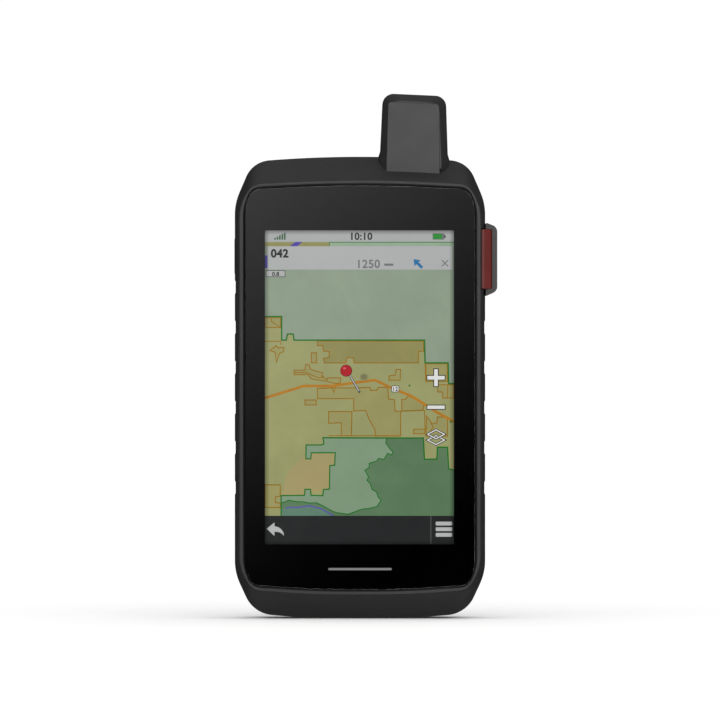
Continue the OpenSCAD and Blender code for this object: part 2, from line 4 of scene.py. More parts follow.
import bmesh
import bpy
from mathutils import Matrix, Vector


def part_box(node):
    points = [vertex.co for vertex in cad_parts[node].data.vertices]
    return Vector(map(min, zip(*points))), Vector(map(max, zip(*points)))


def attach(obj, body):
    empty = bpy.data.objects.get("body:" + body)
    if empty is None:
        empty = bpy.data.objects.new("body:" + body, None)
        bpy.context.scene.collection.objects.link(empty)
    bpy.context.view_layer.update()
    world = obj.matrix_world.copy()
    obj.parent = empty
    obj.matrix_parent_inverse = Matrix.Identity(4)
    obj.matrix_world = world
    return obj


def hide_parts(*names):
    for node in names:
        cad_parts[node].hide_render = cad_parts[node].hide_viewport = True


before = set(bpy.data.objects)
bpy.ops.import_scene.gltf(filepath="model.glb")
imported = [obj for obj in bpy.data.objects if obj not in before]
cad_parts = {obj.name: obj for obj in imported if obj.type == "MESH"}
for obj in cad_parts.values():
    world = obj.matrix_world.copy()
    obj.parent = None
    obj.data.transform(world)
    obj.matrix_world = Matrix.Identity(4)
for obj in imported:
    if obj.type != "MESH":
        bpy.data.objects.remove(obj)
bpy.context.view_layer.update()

MM = 0.001


def corner(node, index):
    """Lowest (0) or highest (1) corner of a CAD node, in millimetres."""
    return Vector(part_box(node)[index]) / MM


# ---------------------------------------------------------------- sizes, from the frame
HALF_W = corner("front_frame", 1).x
BODY_H = 160.6                  # without the antenna
Y_FRONT = corner("front_frame", 0).y
Y_SEAM = corner("front_frame", 1).y
Y_GLASS = corner("cover_glass", 1).y
Y_BACK = corner("cradle_contacts", 1).y - 0.05
Y_FULL = 8.0                    # from here to the back its edge is rounded
BACK_EDGE = 4.5
Y_DOOR = 10.8                   # floor of the battery door's recess
SCREEN_X = [-33.0, 32.6]        # window in the printed border
SCREEN_Z = [25.9, 134.9]
DETAIL = 3                      # factor on the steps of the outline's corners


# ---------------------------------------------------------------- outlines
def mix(a, b, t):
    return a + (b - a) * t


def smooth(t):
    t = min(1.0, max(0.0, t))
    return t * t * (3 - 2 * t)


def corner_arc(p0, p1, p2, r, n):
    """Points of the arc of radius r that rounds the corner p1 between p0 and p2."""
    u = (p0 - p1).normalized()
    v = (p2 - p1).normalized()
    half = u.angle(v) / 2
    centre = p1 + (u + v).normalized() * r / math.sin(half)
    start = p1 + u * r / math.tan(half) - centre
    end = p1 + v * r / math.tan(half) - centre
    a0 = math.atan2(start.y, start.x)
    sweep = (math.atan2(end.y, end.x) - a0 + 3 * math.pi) % (2 * math.pi) - math.pi
    angles = [a0 + sweep * i / n for i in range(n + 1)]
    return [centre + r * Vector((math.cos(a), math.sin(a))) for a in angles]


def rounded(corners):
    """Closed outline through corners given as (u, v, radius, steps)."""
    spots = [Vector((c[0], c[1])) for c in corners]
    points = []
    for i, (_, _, r, n) in enumerate(corners):
        if r <= 0:
            points.append(spots[i])
        else:
            points += corner_arc(spots[i - 1], spots[i], spots[(i + 1) % len(spots)], r, n)
    return points


def rectangle(u0, u1, v0, v1, r=0.0, n=6):
    return rounded([(u0, v0, r, n), (u1, v0, r, n), (u1, v1, r, n), (u0, v1, r, n)])


def circle(u, v, r, n=48):
    angles = [2 * math.pi * i / n for i in range(n)]
    return [Vector((u + r * math.cos(a), v + r * math.sin(a))) for a in angles]


# Corners of the right half, bottom to top, as (x, z, radius, steps): the glass and the silhouette
GLASS_HALF = [(15, 10, 300, 2), (HALF_W - 5.9, 11.5, 4.5, 5), (HALF_W - 3.5, 18, 16, 3),
              (HALF_W - 3.5, BODY_H - 17.5, 16, 3), (HALF_W - 5.9, BODY_H - 11.2, 5, 5)]
EDGE_HALF = [(18, 0, 200, 2), (HALF_W - 6.6, 1.6, 11, 5), (HALF_W, 15.8, 19.5, 3),
             (HALF_W, BODY_H - 16.1, 19.5, 3), (HALF_W - 6.2, BODY_H - 1.6, 9.5, 5)]
GLASS_APEX = (0, BODY_H - 9.2, 480, 6)
EDGE_APEX = (0, BODY_H + 1.3, 405, 6)

NOTCH_Z = [45.5 + 13.95 * i for i in range(6)]
NOTCH_HALF = 2.45
NOTCH_RAMP = 0.5
NOTCH_DEPTH = 0.34
GRIP_Z = {-1: (31.0, 118.7), 1: (31.0, 111.6)}
SOS_Z = (114.6, 135.4)


def side_heights():
    """Heights at which the straight sides get points, closer together at every step in them."""
    heights = {round(24.5 + 2.0 * i, 3) for i in range(56)}
    for z in NOTCH_Z:
        for k in range(5):
            for s in (-1, 1):
                heights.add(round(z + s * (NOTCH_HALF - NOTCH_RAMP * k / 4), 3))
    for z in (GRIP_Z[-1][0], GRIP_Z[-1][1], GRIP_Z[1][1], SOS_Z[0] - 0.25, SOS_Z[1] + 0.25):
        heights |= {round(z - 0.03, 3), round(z + 0.03, 3)}
    return sorted(heights)


SIDE_HEIGHTS = side_heights()


def outline(tx, tz):
    """Casing outline tx of the way across and tz of the way up and down from the glass to the silhouette."""
    def blended(g, e):
        return (mix(g[0], e[0], tx), mix(g[1], e[1], tz), max(2.5, mix(g[2], e[2], tz)), g[3] * DETAIL)

    right = [blended(g, e) for g, e in zip(GLASS_HALF, EDGE_HALF)]
    top = blended(GLASS_APEX, EDGE_APEX)
    left = [(-x, z, r, n) for x, z, r, n in reversed(right)]
    points = rounded(right + [top] + left)
    edge_x = right[2][0]
    dense = []
    for i, p in enumerate(points):
        dense.append(p)
        q = points[(i + 1) % len(points)]
        if abs(p.x - q.x) < 1e-3 and abs(abs(p.x) - edge_x) < 1e-3 and abs(p.y - q.y) > 50:
            heights = SIDE_HEIGHTS if q.y > p.y else SIDE_HEIGHTS[::-1]
            dense += [Vector((p.x, z)) for z in heights]
    return dense


def inset(d):
    """The silhouette moved inwards by d on every side."""
    return outline(1 - d / 3.5, 1 - d / 10)


def notch(z, side):
    """How deep the finger notches are at height z."""
    count = 6 if side < 0 else 5
    return max(NOTCH_DEPTH * smooth((NOTCH_HALF - abs(z - c)) / NOTCH_RAMP) for c in NOTCH_Z[:count])


# ---------------------------------------------------------------- meshes
def to_object(name, bm, angle=32):
    """Turns a bmesh in millimetres into an object in metres, smooth but for edges sharper than angle."""
    bmesh.ops.scale(bm, vec=(MM, MM, MM), verts=bm.verts)
    bmesh.ops.recalc_face_normals(bm, faces=bm.faces)
    mesh = bpy.data.meshes.new(name)
    bm.to_mesh(mesh)
    bm.free()
    obj = bpy.data.objects.new(name, mesh)
    bpy.context.scene.collection.objects.link(obj)
    shade(obj, angle)
    return obj


def shade(obj, angle=32):
    obj.data.shade_smooth()
    obj.data.set_sharp_from_angle(angle=math.radians(angle))


def bake_modifiers(obj):
    """Replaces the mesh by what its modifiers make of it."""
    graph = bpy.context.evaluated_depsgraph_get()
    mesh = bpy.data.meshes.new_from_object(obj.evaluated_get(graph))
    obj.modifiers.clear()
    old = obj.data
    obj.data = mesh
    bpy.data.meshes.remove(old)


def remove(*objects):
    for obj in objects:
        mesh = obj.data
        bpy.data.objects.remove(obj)
        bpy.data.meshes.remove(mesh)


def cut(obj, *cutters):
    """Cuts the cutters out of obj, then deletes them."""
    for cutter in cutters:
        modifier = obj.modifiers.new("cut", "BOOLEAN")
        modifier.operation = "DIFFERENCE"
        modifier.solver = "EXACT"
        modifier.object = cutter
    bake_modifiers(obj)
    remove(*cutters)
    return obj


def weld(base, *others):
    """Adds the others to base, as one closed solid, then deletes them."""
    for other in others:
        modifier = base.modifiers.new("weld", "BOOLEAN")
        modifier.operation = "UNION"
        modifier.solver = "EXACT"
        modifier.object = other
    bake_modifiers(base)
    remove(*others)
    return base


def soften(obj, width, segments=2, angle=32):
    """Rounds every sharp edge by width."""
    modifier = obj.modifiers.new("round", "BEVEL")
    modifier.width = width * MM
    modifier.segments = segments
    modifier.limit_method = "ANGLE"
    modifier.angle_limit = math.radians(angle)
    bake_modifiers(obj)
    shade(obj)
    return obj


def join(name, *objects):
    """One object that holds the meshes of several, without their materials."""
    bm = bmesh.new()
    for obj in objects:
        bm.from_mesh(obj.data)
    remove(*objects)
    mesh = bpy.data.meshes.new(name)
    bm.to_mesh(mesh)
    bm.free()
    obj = bpy.data.objects.new(name, mesh)
    bpy.context.scene.collection.objects.link(obj)
    return obj


def loft(name, rings, closed=False, angle=32):
    """Skin over rings of (x, y, z) points, capped, or with the last ring joined to the first if closed."""
    bm = bmesh.new()
    rows = [[bm.verts.new(p) for p in ring] for ring in rings]
    count = len(rows[0])
    pairs = list(zip(rows, rows[1:]))
    if closed:
        pairs.append((rows[-1], rows[0]))
    for a, b in pairs:
        for i in range(count):
            j = (i + 1) % count
            bm.faces.new((a[i], a[j], b[j], b[i]))
    if not closed:
        bm.faces.new(rows[0])
        bm.faces.new(rows[-1])
    return to_object(name, bm, angle)


PLACES = {"X": lambda u, v, t: (t, u, v), "Y": lambda u, v, t: (u, t, v), "Z": lambda u, v, t: (u, v, t)}


def ring(points, t, axis="Y"):
    return [PLACES[axis](p.x, p.y, t) for p in points]


def prism(name, points, t0, t1, axis="Y"):
    """Flat outline pushed from t0 to t1 along an axis: it is drawn in X and Z, Y and Z, or X and Y."""
    return loft(name, [ring(points, t0, axis), ring(points, t1, axis)])


def rod(name, u, v, t0, t1, r, axis="Y", n=48):
    return prism(name, circle(u, v, r, n), t0, t1, axis)


# ---------------------------------------------------------------- materials
def empty_tree(owner):
    """Node tree of a new material or world, with nothing in it."""
    owner.use_nodes = True
    owner.node_tree.nodes.clear()
    return owner.node_tree


def tree_of(name):
    """New material with a Principled shader, its node tree and that shader."""
    material = bpy.data.materials.new(name)
    tree = empty_tree(material)
    shader = tree.nodes.new("ShaderNodeBsdfPrincipled")
    output = tree.nodes.new("ShaderNodeOutputMaterial")
    tree.links.new(shader.outputs["BSDF"], output.inputs["Surface"])
    return material, tree, shader


def noise(tree, scale, detail=4.0, roughness=0.55, distortion=0.0):
    """Noise texture in object space, with scale in features a metre."""
    place = tree.nodes.new("ShaderNodeTexCoord")
    texture = tree.nodes.new("ShaderNodeTexNoise")
    texture.inputs["Scale"].default_value = scale
    texture.inputs["Detail"].default_value = detail
    texture.inputs["Roughness"].default_value = roughness
    texture.inputs["Distortion"].default_value = distortion
    tree.links.new(place.outputs["Object"], texture.inputs["Vector"])
    return texture.outputs["Fac"]


def feed(tree, value, socket):
    """Sets a socket to a number, or links it to another socket."""
    if isinstance(value, (int, float)):
        socket.default_value = value
    else:
        tree.links.new(value, socket)


def spread(tree, value, low, high, from_low=0.3, from_high=0.7):
    """Maps a value between two limits onto low to high, which are numbers or sockets."""
    node = tree.nodes.new("ShaderNodeMapRange")
    node.inputs["From Min"].default_value = from_low
    node.inputs["From Max"].default_value = from_high
    feed(tree, low, node.inputs["To Min"])
    feed(tree, high, node.inputs["To Max"])
    feed(tree, value, node.inputs["Value"])
    return node.outputs["Result"]


def combine(tree, operation, a, b=0.0):
    """Math node on numbers or sockets."""
    node = tree.nodes.new("ShaderNodeMath")
    node.operation = operation
    feed(tree, a, node.inputs[0])
    feed(tree, b, node.inputs[1])
    return node.outputs[0]


def place_parts(tree, kind="Object"):
    """Outputs X, Y and Z of a texture coordinate."""
    place = tree.nodes.new("ShaderNodeTexCoord")
    parts = tree.nodes.new("ShaderNodeSeparateXYZ")
    tree.links.new(place.outputs[kind], parts.inputs["Vector"])
    return parts.outputs


def mix_shaders(tree, share, first, second):
    """First shader where share is 0, second where it is 1."""
    node = tree.nodes.new("ShaderNodeMixShader")
    tree.links.new(share, node.inputs[0])
    tree.links.new(first, node.inputs[1])
    tree.links.new(second, node.inputs[2])
    return node.outputs[0]


def two_tone(tree, value, dark, light):
    ramp = tree.nodes.new("ShaderNodeValToRGB")
    ramp.color_ramp.elements[0].position = 0.3
    ramp.color_ramp.elements[0].color = (*dark, 1)
    ramp.color_ramp.elements[1].position = 0.7
    ramp.color_ramp.elements[1].color = (*light, 1)
    tree.links.new(value, ramp.inputs["Fac"])
    return ramp.outputs["Color"]


GRAIN_DEPTH = 0.00006           # metres


def surface(name, dark, light, rough, grain=2600.0, bump=0.25, metallic=0.0, specular=0.5, blotch=60.0,
            coat=0.0):
    """Moulded or machined surface: blotchy colour, uneven gloss and a fine grain.

    dark and light are the two tones, rough the lowest and highest roughness, grain the features a
    metre of the relief, bump its strength and blotch the features a metre of the two tones.
    """
    material, tree, shader = tree_of(name)
    tree.links.new(two_tone(tree, noise(tree, blotch, 5.0), dark, light), shader.inputs["Base Color"])
    tree.links.new(spread(tree, noise(tree, blotch * 2.3, 3.0), *rough), shader.inputs["Roughness"])
    shader.inputs["Metallic"].default_value = metallic
    shader.inputs["Specular IOR Level"].default_value = specular
    shader.inputs["Coat Weight"].default_value = coat
    relief = tree.nodes.new("ShaderNodeBump")
    relief.inputs["Strength"].default_value = bump
    relief.inputs["Distance"].default_value = GRAIN_DEPTH
    tree.links.new(noise(tree, grain, 2.0), relief.inputs["Height"])
    tree.links.new(relief.outputs["Normal"], shader.inputs["Normal"])
    return material


def grey(value):
    """Grey of moulded plastic and metal, a trace blue."""
    return (value, value, value * 1.02)


# The glass reflects on the outside only, as strongly as both faces of a 1.46 glass do together.
BOTH_FACES_IOR = 1.72


def clear_glass(name):
    """Clear cover glass: what lies behind it, with a reflection that grows towards a glancing view."""
    material = bpy.data.materials.new(name)
    tree = empty_tree(material)
    through = tree.nodes.new("ShaderNodeBsdfTransparent")
    tint = two_tone(tree, noise(tree, 40.0), (0.965, 0.975, 0.97), (0.985, 0.99, 0.985))
    tree.links.new(tint, through.inputs["Color"])
    mirror = tree.nodes.new("ShaderNodeBsdfGlossy")
    tree.links.new(spread(tree, noise(tree, 55.0, 3.0), 0.0, 0.03), mirror.inputs["Roughness"])
    share = tree.nodes.new("ShaderNodeFresnel")
    share.inputs["IOR"].default_value = BOTH_FACES_IOR
    side = tree.nodes.new("ShaderNodeNewGeometry")
    outside = combine(tree, "SUBTRACT", 1.0, side.outputs["Backfacing"])
    outer = combine(tree, "MULTIPLY", share.outputs["Fac"], outside)
    output = tree.nodes.new("ShaderNodeOutputMaterial")
    glass = mix_shaders(tree, outer, through.outputs[0], mirror.outputs[0])
    tree.links.new(glass, output.inputs["Surface"])
    return material


HOUSING = surface("housing_plastic", grey(0.0172), grey(0.0208), (0.36, 0.44), grain=3400.0, bump=0.3)
REAR = surface("rear_plastic", grey(0.024), grey(0.029), (0.38, 0.48), grain=3000.0, bump=0.4)
# The antenna's cover is lighter than the housing plastic: partly its own plastic, partly painted light of the
# front light falling full on its flat face.
COVER_FRONT_LIT = surface("antenna_cover_plastic", grey(0.03), grey(0.035), (0.38, 0.46), grain=4200.0, bump=0.15)
RUBBER = surface("grip_rubber", grey(0.016), grey(0.022), (0.62, 0.78), grain=2200.0, bump=0.5, specular=0.35)
SEAL = surface("seal_rubber", grey(0.008), grey(0.012), (0.5, 0.65), specular=0.3)
GUARD = surface("guard_plastic", (0.032, 0.029, 0.028), (0.042, 0.038, 0.037), (0.36, 0.46), grain=3600.0)
RED = surface("emergency_red", (0.115, 0.012, 0.009), (0.16, 0.018, 0.014), (0.34, 0.44), grain=3800.0,
              bump=0.2)
LATCH = surface("latch_plastic", grey(0.05), grey(0.065), (0.35, 0.45), bump=0.2)
INK = surface("border_ink", grey(0.0004), grey(0.0008), (0.5, 0.6), bump=0.0, specular=0.0)
GLASS = clear_glass("cover_glass")
STEEL = surface("pin_steel", grey(0.36), grey(0.5), (0.24, 0.36), metallic=1.0, grain=1800.0, bump=0.1)
SCREW = surface("screw_steel", grey(0.16), grey(0.24), (0.3, 0.42), metallic=1.0, grain=2400.0, bump=0.12)
WIRE = surface("ring_wire", grey(0.2), grey(0.3), (0.28, 0.4), metallic=1.0, grain=2400.0, bump=0.15)
GOLD = surface("contact_gold", (0.72, 0.46, 0.14), (0.86, 0.6, 0.22), (0.16, 0.26), metallic=1.0, bump=0.05)
COPPER = surface("copper_foil", (0.6, 0.26, 0.14), (0.75, 0.36, 0.2), (0.2, 0.32), metallic=1.0, grain=1200.0,
                 bump=0.08)
SHIELD = surface("shield_steel", grey(0.5), grey(0.62), (0.26, 0.4), metallic=1.0, grain=900.0, bump=0.08)
CHASSIS = surface("chassis_metal", grey(0.34), grey(0.42), (0.34, 0.48), metallic=1.0, grain=1500.0,
                  bump=0.15)
WRAP = surface("battery_wrap", (0.008, 0.013, 0.022), (0.013, 0.02, 0.032), (0.28, 0.4), grain=900.0,
               bump=0.12, coat=0.3)
PAPER = surface("battery_label", grey(0.5), grey(0.58), (0.5, 0.6), grain=3000.0, bump=0.1)
AMBER = surface("battery_stripe", (0.55, 0.26, 0.03), (0.62, 0.3, 0.04), (0.45, 0.55), bump=0.1)
BOARD = surface("circuit_board", (0.004, 0.03, 0.012), (0.008, 0.06, 0.022), (0.3, 0.45), grain=700.0,
                bump=0.3, blotch=420.0)
CHIP = surface("chip_black", grey(0.012), grey(0.02), (0.4, 0.55), grain=3200.0, bump=0.2)
CERAMIC = surface("ceramic", (0.42, 0.36, 0.28), (0.5, 0.43, 0.34), (0.35, 0.5), grain=1600.0, bump=0.15)
RIBBON = surface("flex_ribbon", (0.3, 0.13, 0.02), (0.4, 0.18, 0.03), (0.25, 0.35), grain=500.0, bump=0.1,
                 blotch=300.0)
FORMER = surface("former_plastic", (0.6, 0.57, 0.5), (0.7, 0.66, 0.58), (0.4, 0.5), grain=1800.0, bump=0.1)
PANEL_WHITE = surface("backlight", grey(0.62), grey(0.7), (0.3, 0.4), grain=1000.0, bump=0.05)
CLOTH = surface("speaker_cloth", grey(0.006), grey(0.02), (0.8, 0.95), grain=5200.0, bump=0.9, blotch=4200.0)
CARD_INK = surface("memory_card", (0.01, 0.018, 0.04), (0.014, 0.026, 0.06), (0.35, 0.45), bump=0.1)


def piece(obj, body, material, slot, *replaced):
    """Gives a piece its body and finish, hides the CAD nodes it replaces, and lets its flat faces set the
    shading beside them.
    """
    modifier = obj.modifiers.new("shading", "WEIGHTED_NORMAL")
    modifier.keep_sharp = True
    bake_modifiers(obj)
    obj.data.materials.clear()
    obj.data.materials.append(material)
    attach(obj, body)
    if replaced:
        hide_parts(*replaced)
    return obj


# ---------------------------------------------------------------- front frame
# Cross-section from the glass pocket over the rim to the seam, as (y, tx, tz)
Y_LEDGE = -12.6                 # floor of the pocket that the glass lies in
RIM = [(Y_LEDGE, 0.13, 0.043), (-14.2, 0.13, 0.043), (-14.42, 0.15, 0.047), (Y_FRONT, 0.2, 0.06),
       (Y_FRONT, 0.45, 0.135), (-14.45, 0.5, 0.15), (-14.32, 0.55, 0.166), (-14.1, 0.61, 0.187)]
SLOPE = [(-13.4, 0.73, 0.26), (-10.0, 0.88, 0.56), (-7.0, 0.972, 0.86), (Y_SEAM - 0.25, 1.0, 1.0)]
SLOPE_STEPS = 5
TAB_Y = -8.4                    # the guard's lift tab lies in front of this, in a dent of the frame
TAB_DENT = 1.5
FRAME_BACK = [(Y_SEAM - 0.08, 0.985, 0.993), (Y_SEAM, 0.94, 0.97), (Y_SEAM, 0.1, 0.45), (Y_LEDGE, 0.1, 0.1)]


def spline(points, steps):
    """Catmull-Rom curve through the points."""
    out = []
    for i in range(len(points) - 1):
        before = points[max(i - 1, 0)]
        after = points[min(i + 2, len(points) - 1)]
        for k in range(steps):
            t = k / steps
            spot = []
            for a, b, c, d in zip(before, points[i], points[i + 1], after):
                square = (2 * a - 5 * b + 4 * c - d) * t * t
                cube = (3 * b - a - 3 * c + d) * t ** 3
                spot.append(0.5 * (2 * b + (c - a) * t + square + cube))
            out.append(tuple(spot))
    return out + [points[-1]]


def casing_ring(y, points, floor=0.0):
    """Ring of the casing, with the finger notches and the guard's window pressed into its sides."""
    out = []
    for p in points:
        side = 1 if p.x > 0 else -1
        limit = HALF_W - max(notch(p.y, side), floor if GRIP_Z[side][0] < p.y < GRIP_Z[side][1] else 0.0)
        if side > 0 and y < TAB_Y and SOS_Z[0] - 0.25 < p.y < SOS_Z[1] + 0.25:
            limit = HALF_W - TAB_DENT
        out.append((math.copysign(min(abs(p.x), limit), p.x), y, p.y))
    return out


def make_front_frame():
    section = RIM + spline(SLOPE, SLOPE_STEPS) + FRAME_BACK
    rings = [casing_ring(y, outline(tx, tz)) for y, tx, tz in section]
    obj = loft("front_frame_shell", rings, closed=True, angle=40)
    piece(obj, "root", HOUSING, "housing_plastic", "front_frame")


make_front_frame()


# ---------------------------------------------------------------- glass, its printed border and the gasket
def make_glass():
    edge = [(Y_GLASS, 0.0), (Y_FRONT + 0.28, 0.0), (Y_FRONT + 0.1, 0.12), (Y_FRONT + 0.02, 0.24),
            (Y_FRONT, 0.42)]
    rings = [ring(outline(-d / 3.5, -d / 10), y) for y, d in edge]
    piece(loft("cover_glass_sheet", rings, angle=50), "root", GLASS, "cover_glass", "cover_glass")
    border = prism("touch_sensor_border", outline(-0.005, -0.002), Y_GLASS + 0.01, Y_GLASS + 0.03)
    window = rectangle(SCREEN_X[0], SCREEN_X[1], SCREEN_Z[0], SCREEN_Z[1], 0.35, 4)
    cut(border, prism("window", window, Y_GLASS - 1, Y_GLASS + 1))
    piece(border, "root", INK, "sensor_film", "touch_sensor", "glass_adhesive")
    lip = [(Y_LEDGE, 0.012), (-14.05, 0.012), (-14.2, 0.05), (-14.2, 0.09), (-14.05, 0.125), (Y_LEDGE, 0.125)]
    rings = [ring(outline(t, t * 0.32), y) for y, t in lip]
    piece(loft("glass_gasket_lip", rings, closed=True), "root", SEAL, "seal_rubber", "glass_gasket")


make_glass()


# ---------------------------------------------------------------- the picture on the screen
SCREEN_W = SCREEN_X[1] - SCREEN_X[0]
PICTURE_Z = 25.4                # foot of the picture, just under the window's edge
SCREEN_H = SCREEN_Z[1] - PICTURE_Z
BAR_H = 10.4                    # dark bar at the foot
LAYER = 0.0012                  # from one shape of the picture to the next
Y_PICTURE = -12.6


def linear(value):
    value /= 255
    return value / 12.92 if value <= 0.04045 else ((value + 0.055) / 1.055) ** 2.4


EDGE_SHADED_GLOW = 0.45                # share of the glow left at the very edge of the screen, under a painted shade of the border's edge
EDGE_SHADE_SPAN = (1.6, 0.1)          # from and to how far from the edge the painted shade darkens the glow


def lit(name, rgb, relief=0.0, scale=70.0):
    """Glowing screen colour given as 0 to 255, uneven by relief, and darkened by a painted shade towards the
    screen's edge.
    """
    material, tree, shader = tree_of("screen_" + name)
    shader.inputs["Base Color"].default_value = (0.01, 0.01, 0.01, 1)
    shader.inputs["Roughness"].default_value = 0.6
    shader.inputs["Specular IOR Level"].default_value = 0.0
    shader.inputs["Emission Strength"].default_value = 1.0
    tone = [linear(c) for c in rgb]
    colour = two_tone(tree, noise(tree, scale, 5.0, 0.6, 0.6),
                      [c * (1 - relief) for c in tone], [c * (1 + relief) for c in tone])
    parts = place_parts(tree)
    # painted shade: the glow is darkened towards each edge of the screen, as if the border shaded it
    dim = 1.0
    for axis, low, high in (("X", *SCREEN_X), ("Z", *SCREEN_Z)):
        away = combine(tree, "ABSOLUTE", combine(tree, "SUBTRACT", parts[axis], (low + high) / 2 * MM))
        half = (high - low) / 2
        edge_shade = spread(tree, away, 1.0, EDGE_SHADED_GLOW, (half - EDGE_SHADE_SPAN[0]) * MM, (half - EDGE_SHADE_SPAN[1]) * MM)
        dim = combine(tree, "MULTIPLY", dim, edge_shade)
    scale_node = tree.nodes.new("ShaderNodeVectorMath")
    scale_node.operation = "SCALE"
    tree.links.new(colour, scale_node.inputs[0])
    tree.links.new(dim, scale_node.inputs["Scale"])
    tree.links.new(scale_node.outputs[0], shader.inputs["Emission Color"])
    return material


# Colour, unevenness and, where it isn't the usual one, features a metre
TONES = {
    "bar": ((33, 34, 35), 0.06),
    "panel": ((178, 179, 179), 0.02),
    "status": ((173, 174, 174), 0.02),
    "forest": ((143, 158, 137), 0.07, 60.0),
    "meadow": ((156, 157, 106), 0.08, 45.0),
    "field": ((145, 139, 84), 0.08, 60.0),
    "plot": ((156, 151, 96), 0.08, 60.0),
    "wood": ((130, 154, 126), 0.06, 60.0),
    "deep": ((92, 124, 90), 0.10, 70.0),
    "dry": ((166, 153, 104), 0.06, 60.0),
    "lake": ((96, 130, 110), 0.06),
    "edge": ((26, 112, 34), 0.10),
    "parcel": ((152, 112, 16), 0.12, 200.0),
    "road": ((182, 122, 30), 0.10, 200.0),
    "river": ((92, 84, 168), 0.10),
    "white": ((228, 228, 226), 0.02),
    "dark": ((24, 25, 27), 0.08),
    "mid": ((112, 114, 115), 0.04),
    "blue": ((36, 112, 166), 0.06),
    "violet": ((72, 62, 160), 0.08),
    "green": ((30, 140, 44), 0.08),
    "signal": ((36, 92, 46), 0.08),
    "red": ((178, 22, 34), 0.14, 500.0),
    "maroon": ((116, 14, 20), 0.08),
    "glow": ((214, 92, 92), 0.05),
    "shade": ((138, 136, 92), 0.08),
    "shadow": ((120, 118, 82), 0.08),
    "symbol": ((188, 189, 189), 0.03),
    "haze": ((150, 172, 148), 0.08, 60.0),
}
PAINTS = {name: lit(name, *tone) for name, tone in TONES.items()}


class Picture:
    """Flat coloured shapes on the screen, from its lower left corner, each layer over the last."""

    def __init__(self):
        self.bm = bmesh.new()
        self.names = []
        self.layer = 0

    def shape(self, paint, points):
        self.layer += 1
        if paint not in self.names:
            self.names.append(paint)
        y = Y_PICTURE - LAYER * self.layer
        verts = [self.bm.verts.new((SCREEN_X[0] + p[0], y, PICTURE_Z + p[1])) for p in points]
        face = self.bm.faces.new(verts)
        face.normal_update()
        face.material_index = self.names.index(paint)

    def box(self, paint, u0, u1, v0, v1, r=0.0):
        self.shape(paint, rectangle(u0, u1, v0, v1, r, 4))

    def disc(self, paint, u, v, r, squash=1.0):
        self.shape(paint, [(u + r * math.cos(a), v + r * squash * math.sin(a))
                           for a in (2 * math.pi * i / 28 for i in range(28))])

    def line(self, paint, points, width, closed=False):
        """Polyline of the given width with mitred corners."""
        spots = [Vector(p) for p in points]
        last = len(spots) - 1
        left, right = [], []
        for i, p in enumerate(spots):
            before = spots[i - 1] if i or closed else None
            after = spots[(i + 1) % len(spots)] if i < last or closed else None
            a = (p - before).normalized() if before is not None else (after - p).normalized()
            b = (after - p).normalized() if after is not None else a
            across = Vector((-a.y - b.y, a.x + b.x))
            if across.length < 1e-6:
                across = Vector((-a.y, a.x))
            across.normalize()
            reach = width / 2 / max(0.35, abs(across.dot(Vector((-a.y, a.x)))))
            left.append(p + across * reach)
            right.append(p - across * reach)
        for i in range(len(spots) if closed else last):
            j = (i + 1) % len(spots)
            self.shape(paint, [left[i], left[j], right[j], right[i]])
            self.layer -= 1
        self.layer += 1

    def digits(self, paint, text, u, v, size, bold=0.03):
        """Digits, centred on u and standing on v."""
        curve = bpy.data.curves.new("digits", "FONT")
        curve.body = text
        curve.size = size
        curve.offset = bold * size
        curve.space_character = 1.06
        curve.align_x = "CENTER"
        obj = bpy.data.objects.new("digits", curve)
        bpy.context.scene.collection.objects.link(obj)
        mesh = bpy.data.meshes.new_from_object(obj.evaluated_get(bpy.context.evaluated_depsgraph_get()))
        for polygon in mesh.polygons:
            corners = [mesh.vertices[k].co for k in polygon.vertices]
            self.shape(paint, [(u + c.x, v + c.y) for c in corners])
            self.layer -= 1
        self.layer += 1
        bpy.data.objects.remove(obj)
        bpy.data.curves.remove(curve)
        bpy.data.meshes.remove(mesh)

    def finish(self, name):
        bmesh.ops.triangulate(self.bm, faces=[f for f in self.bm.faces if len(f.verts) > 4])
        for face in self.bm.faces:
            face.normal_update()
            if face.normal.y > 0:
                face.normal_flip()
        bmesh.ops.scale(self.bm, vec=(MM, MM, MM), verts=self.bm.verts)
        mesh = bpy.data.meshes.new(name)
        self.bm.to_mesh(mesh)
        self.bm.free()
        for paint in self.names:
            mesh.materials.append(PAINTS[paint])
        obj = bpy.data.objects.new(name, mesh)
        bpy.context.scene.collection.objects.link(obj)
        return obj


# The map: borders that wander in steps across it, fields, trails, a road, a creek and a river
NORTH = [(0, 79.6), (5.8, 79.6), (5.8, 71.4), (7.4, 71.4), (7.8, 73.5), (9.8, 73.5), (10.1, 71.4),
         (55.4, 71.4), (55.6, 63.5), (63.6, 63.5), (63.8, 56.3), (SCREEN_W, 56.3)]
SOUTH_EAST = [(20, 37.5), (42.2, 37.4), (55, 37.4), (55.4, 30), (59.7, 30.1), (59.9, 34.2), (63.4, 34.2),
              (63.8, 26.7), (SCREEN_W, 26.3)]
SOUTH_WEST = [(5.6, BAR_H), (5.6, 17.4), (13.7, 17.5), (13.9, 19.6), (15.8, 19.6), (16, 17.5), (20.1, 17.4),
              (20.3, 19.5), (22.4, 19.7), (22.5, 27.8), (24.2, 28), (24.4, 32.3), (16.1, 32.3), (15.9, 30.2),
              (14.2, 30.2), (14.3, 35), (19.4, 35), (20.4, 35.3), (20.4, 36.4), (20, 37.5)]
VALLEY = [(42.2, 37.4), (42, 35.6), (43.3, 33.8), (44.4, 32.6), (44, 31.5), (42.6, 32.1), (41.3, 30),
          (39.4, 30.3), (38.8, 29.4), (36.2, 28.6), (36.2, 27.2), (34.7, 26.2), (36, 23.8), (35.4, 22.8),
          (36.6, 21.4), (37.2, 19.6), (38.8, 18.6), (39.2, 17), (40.3, 15.8)]
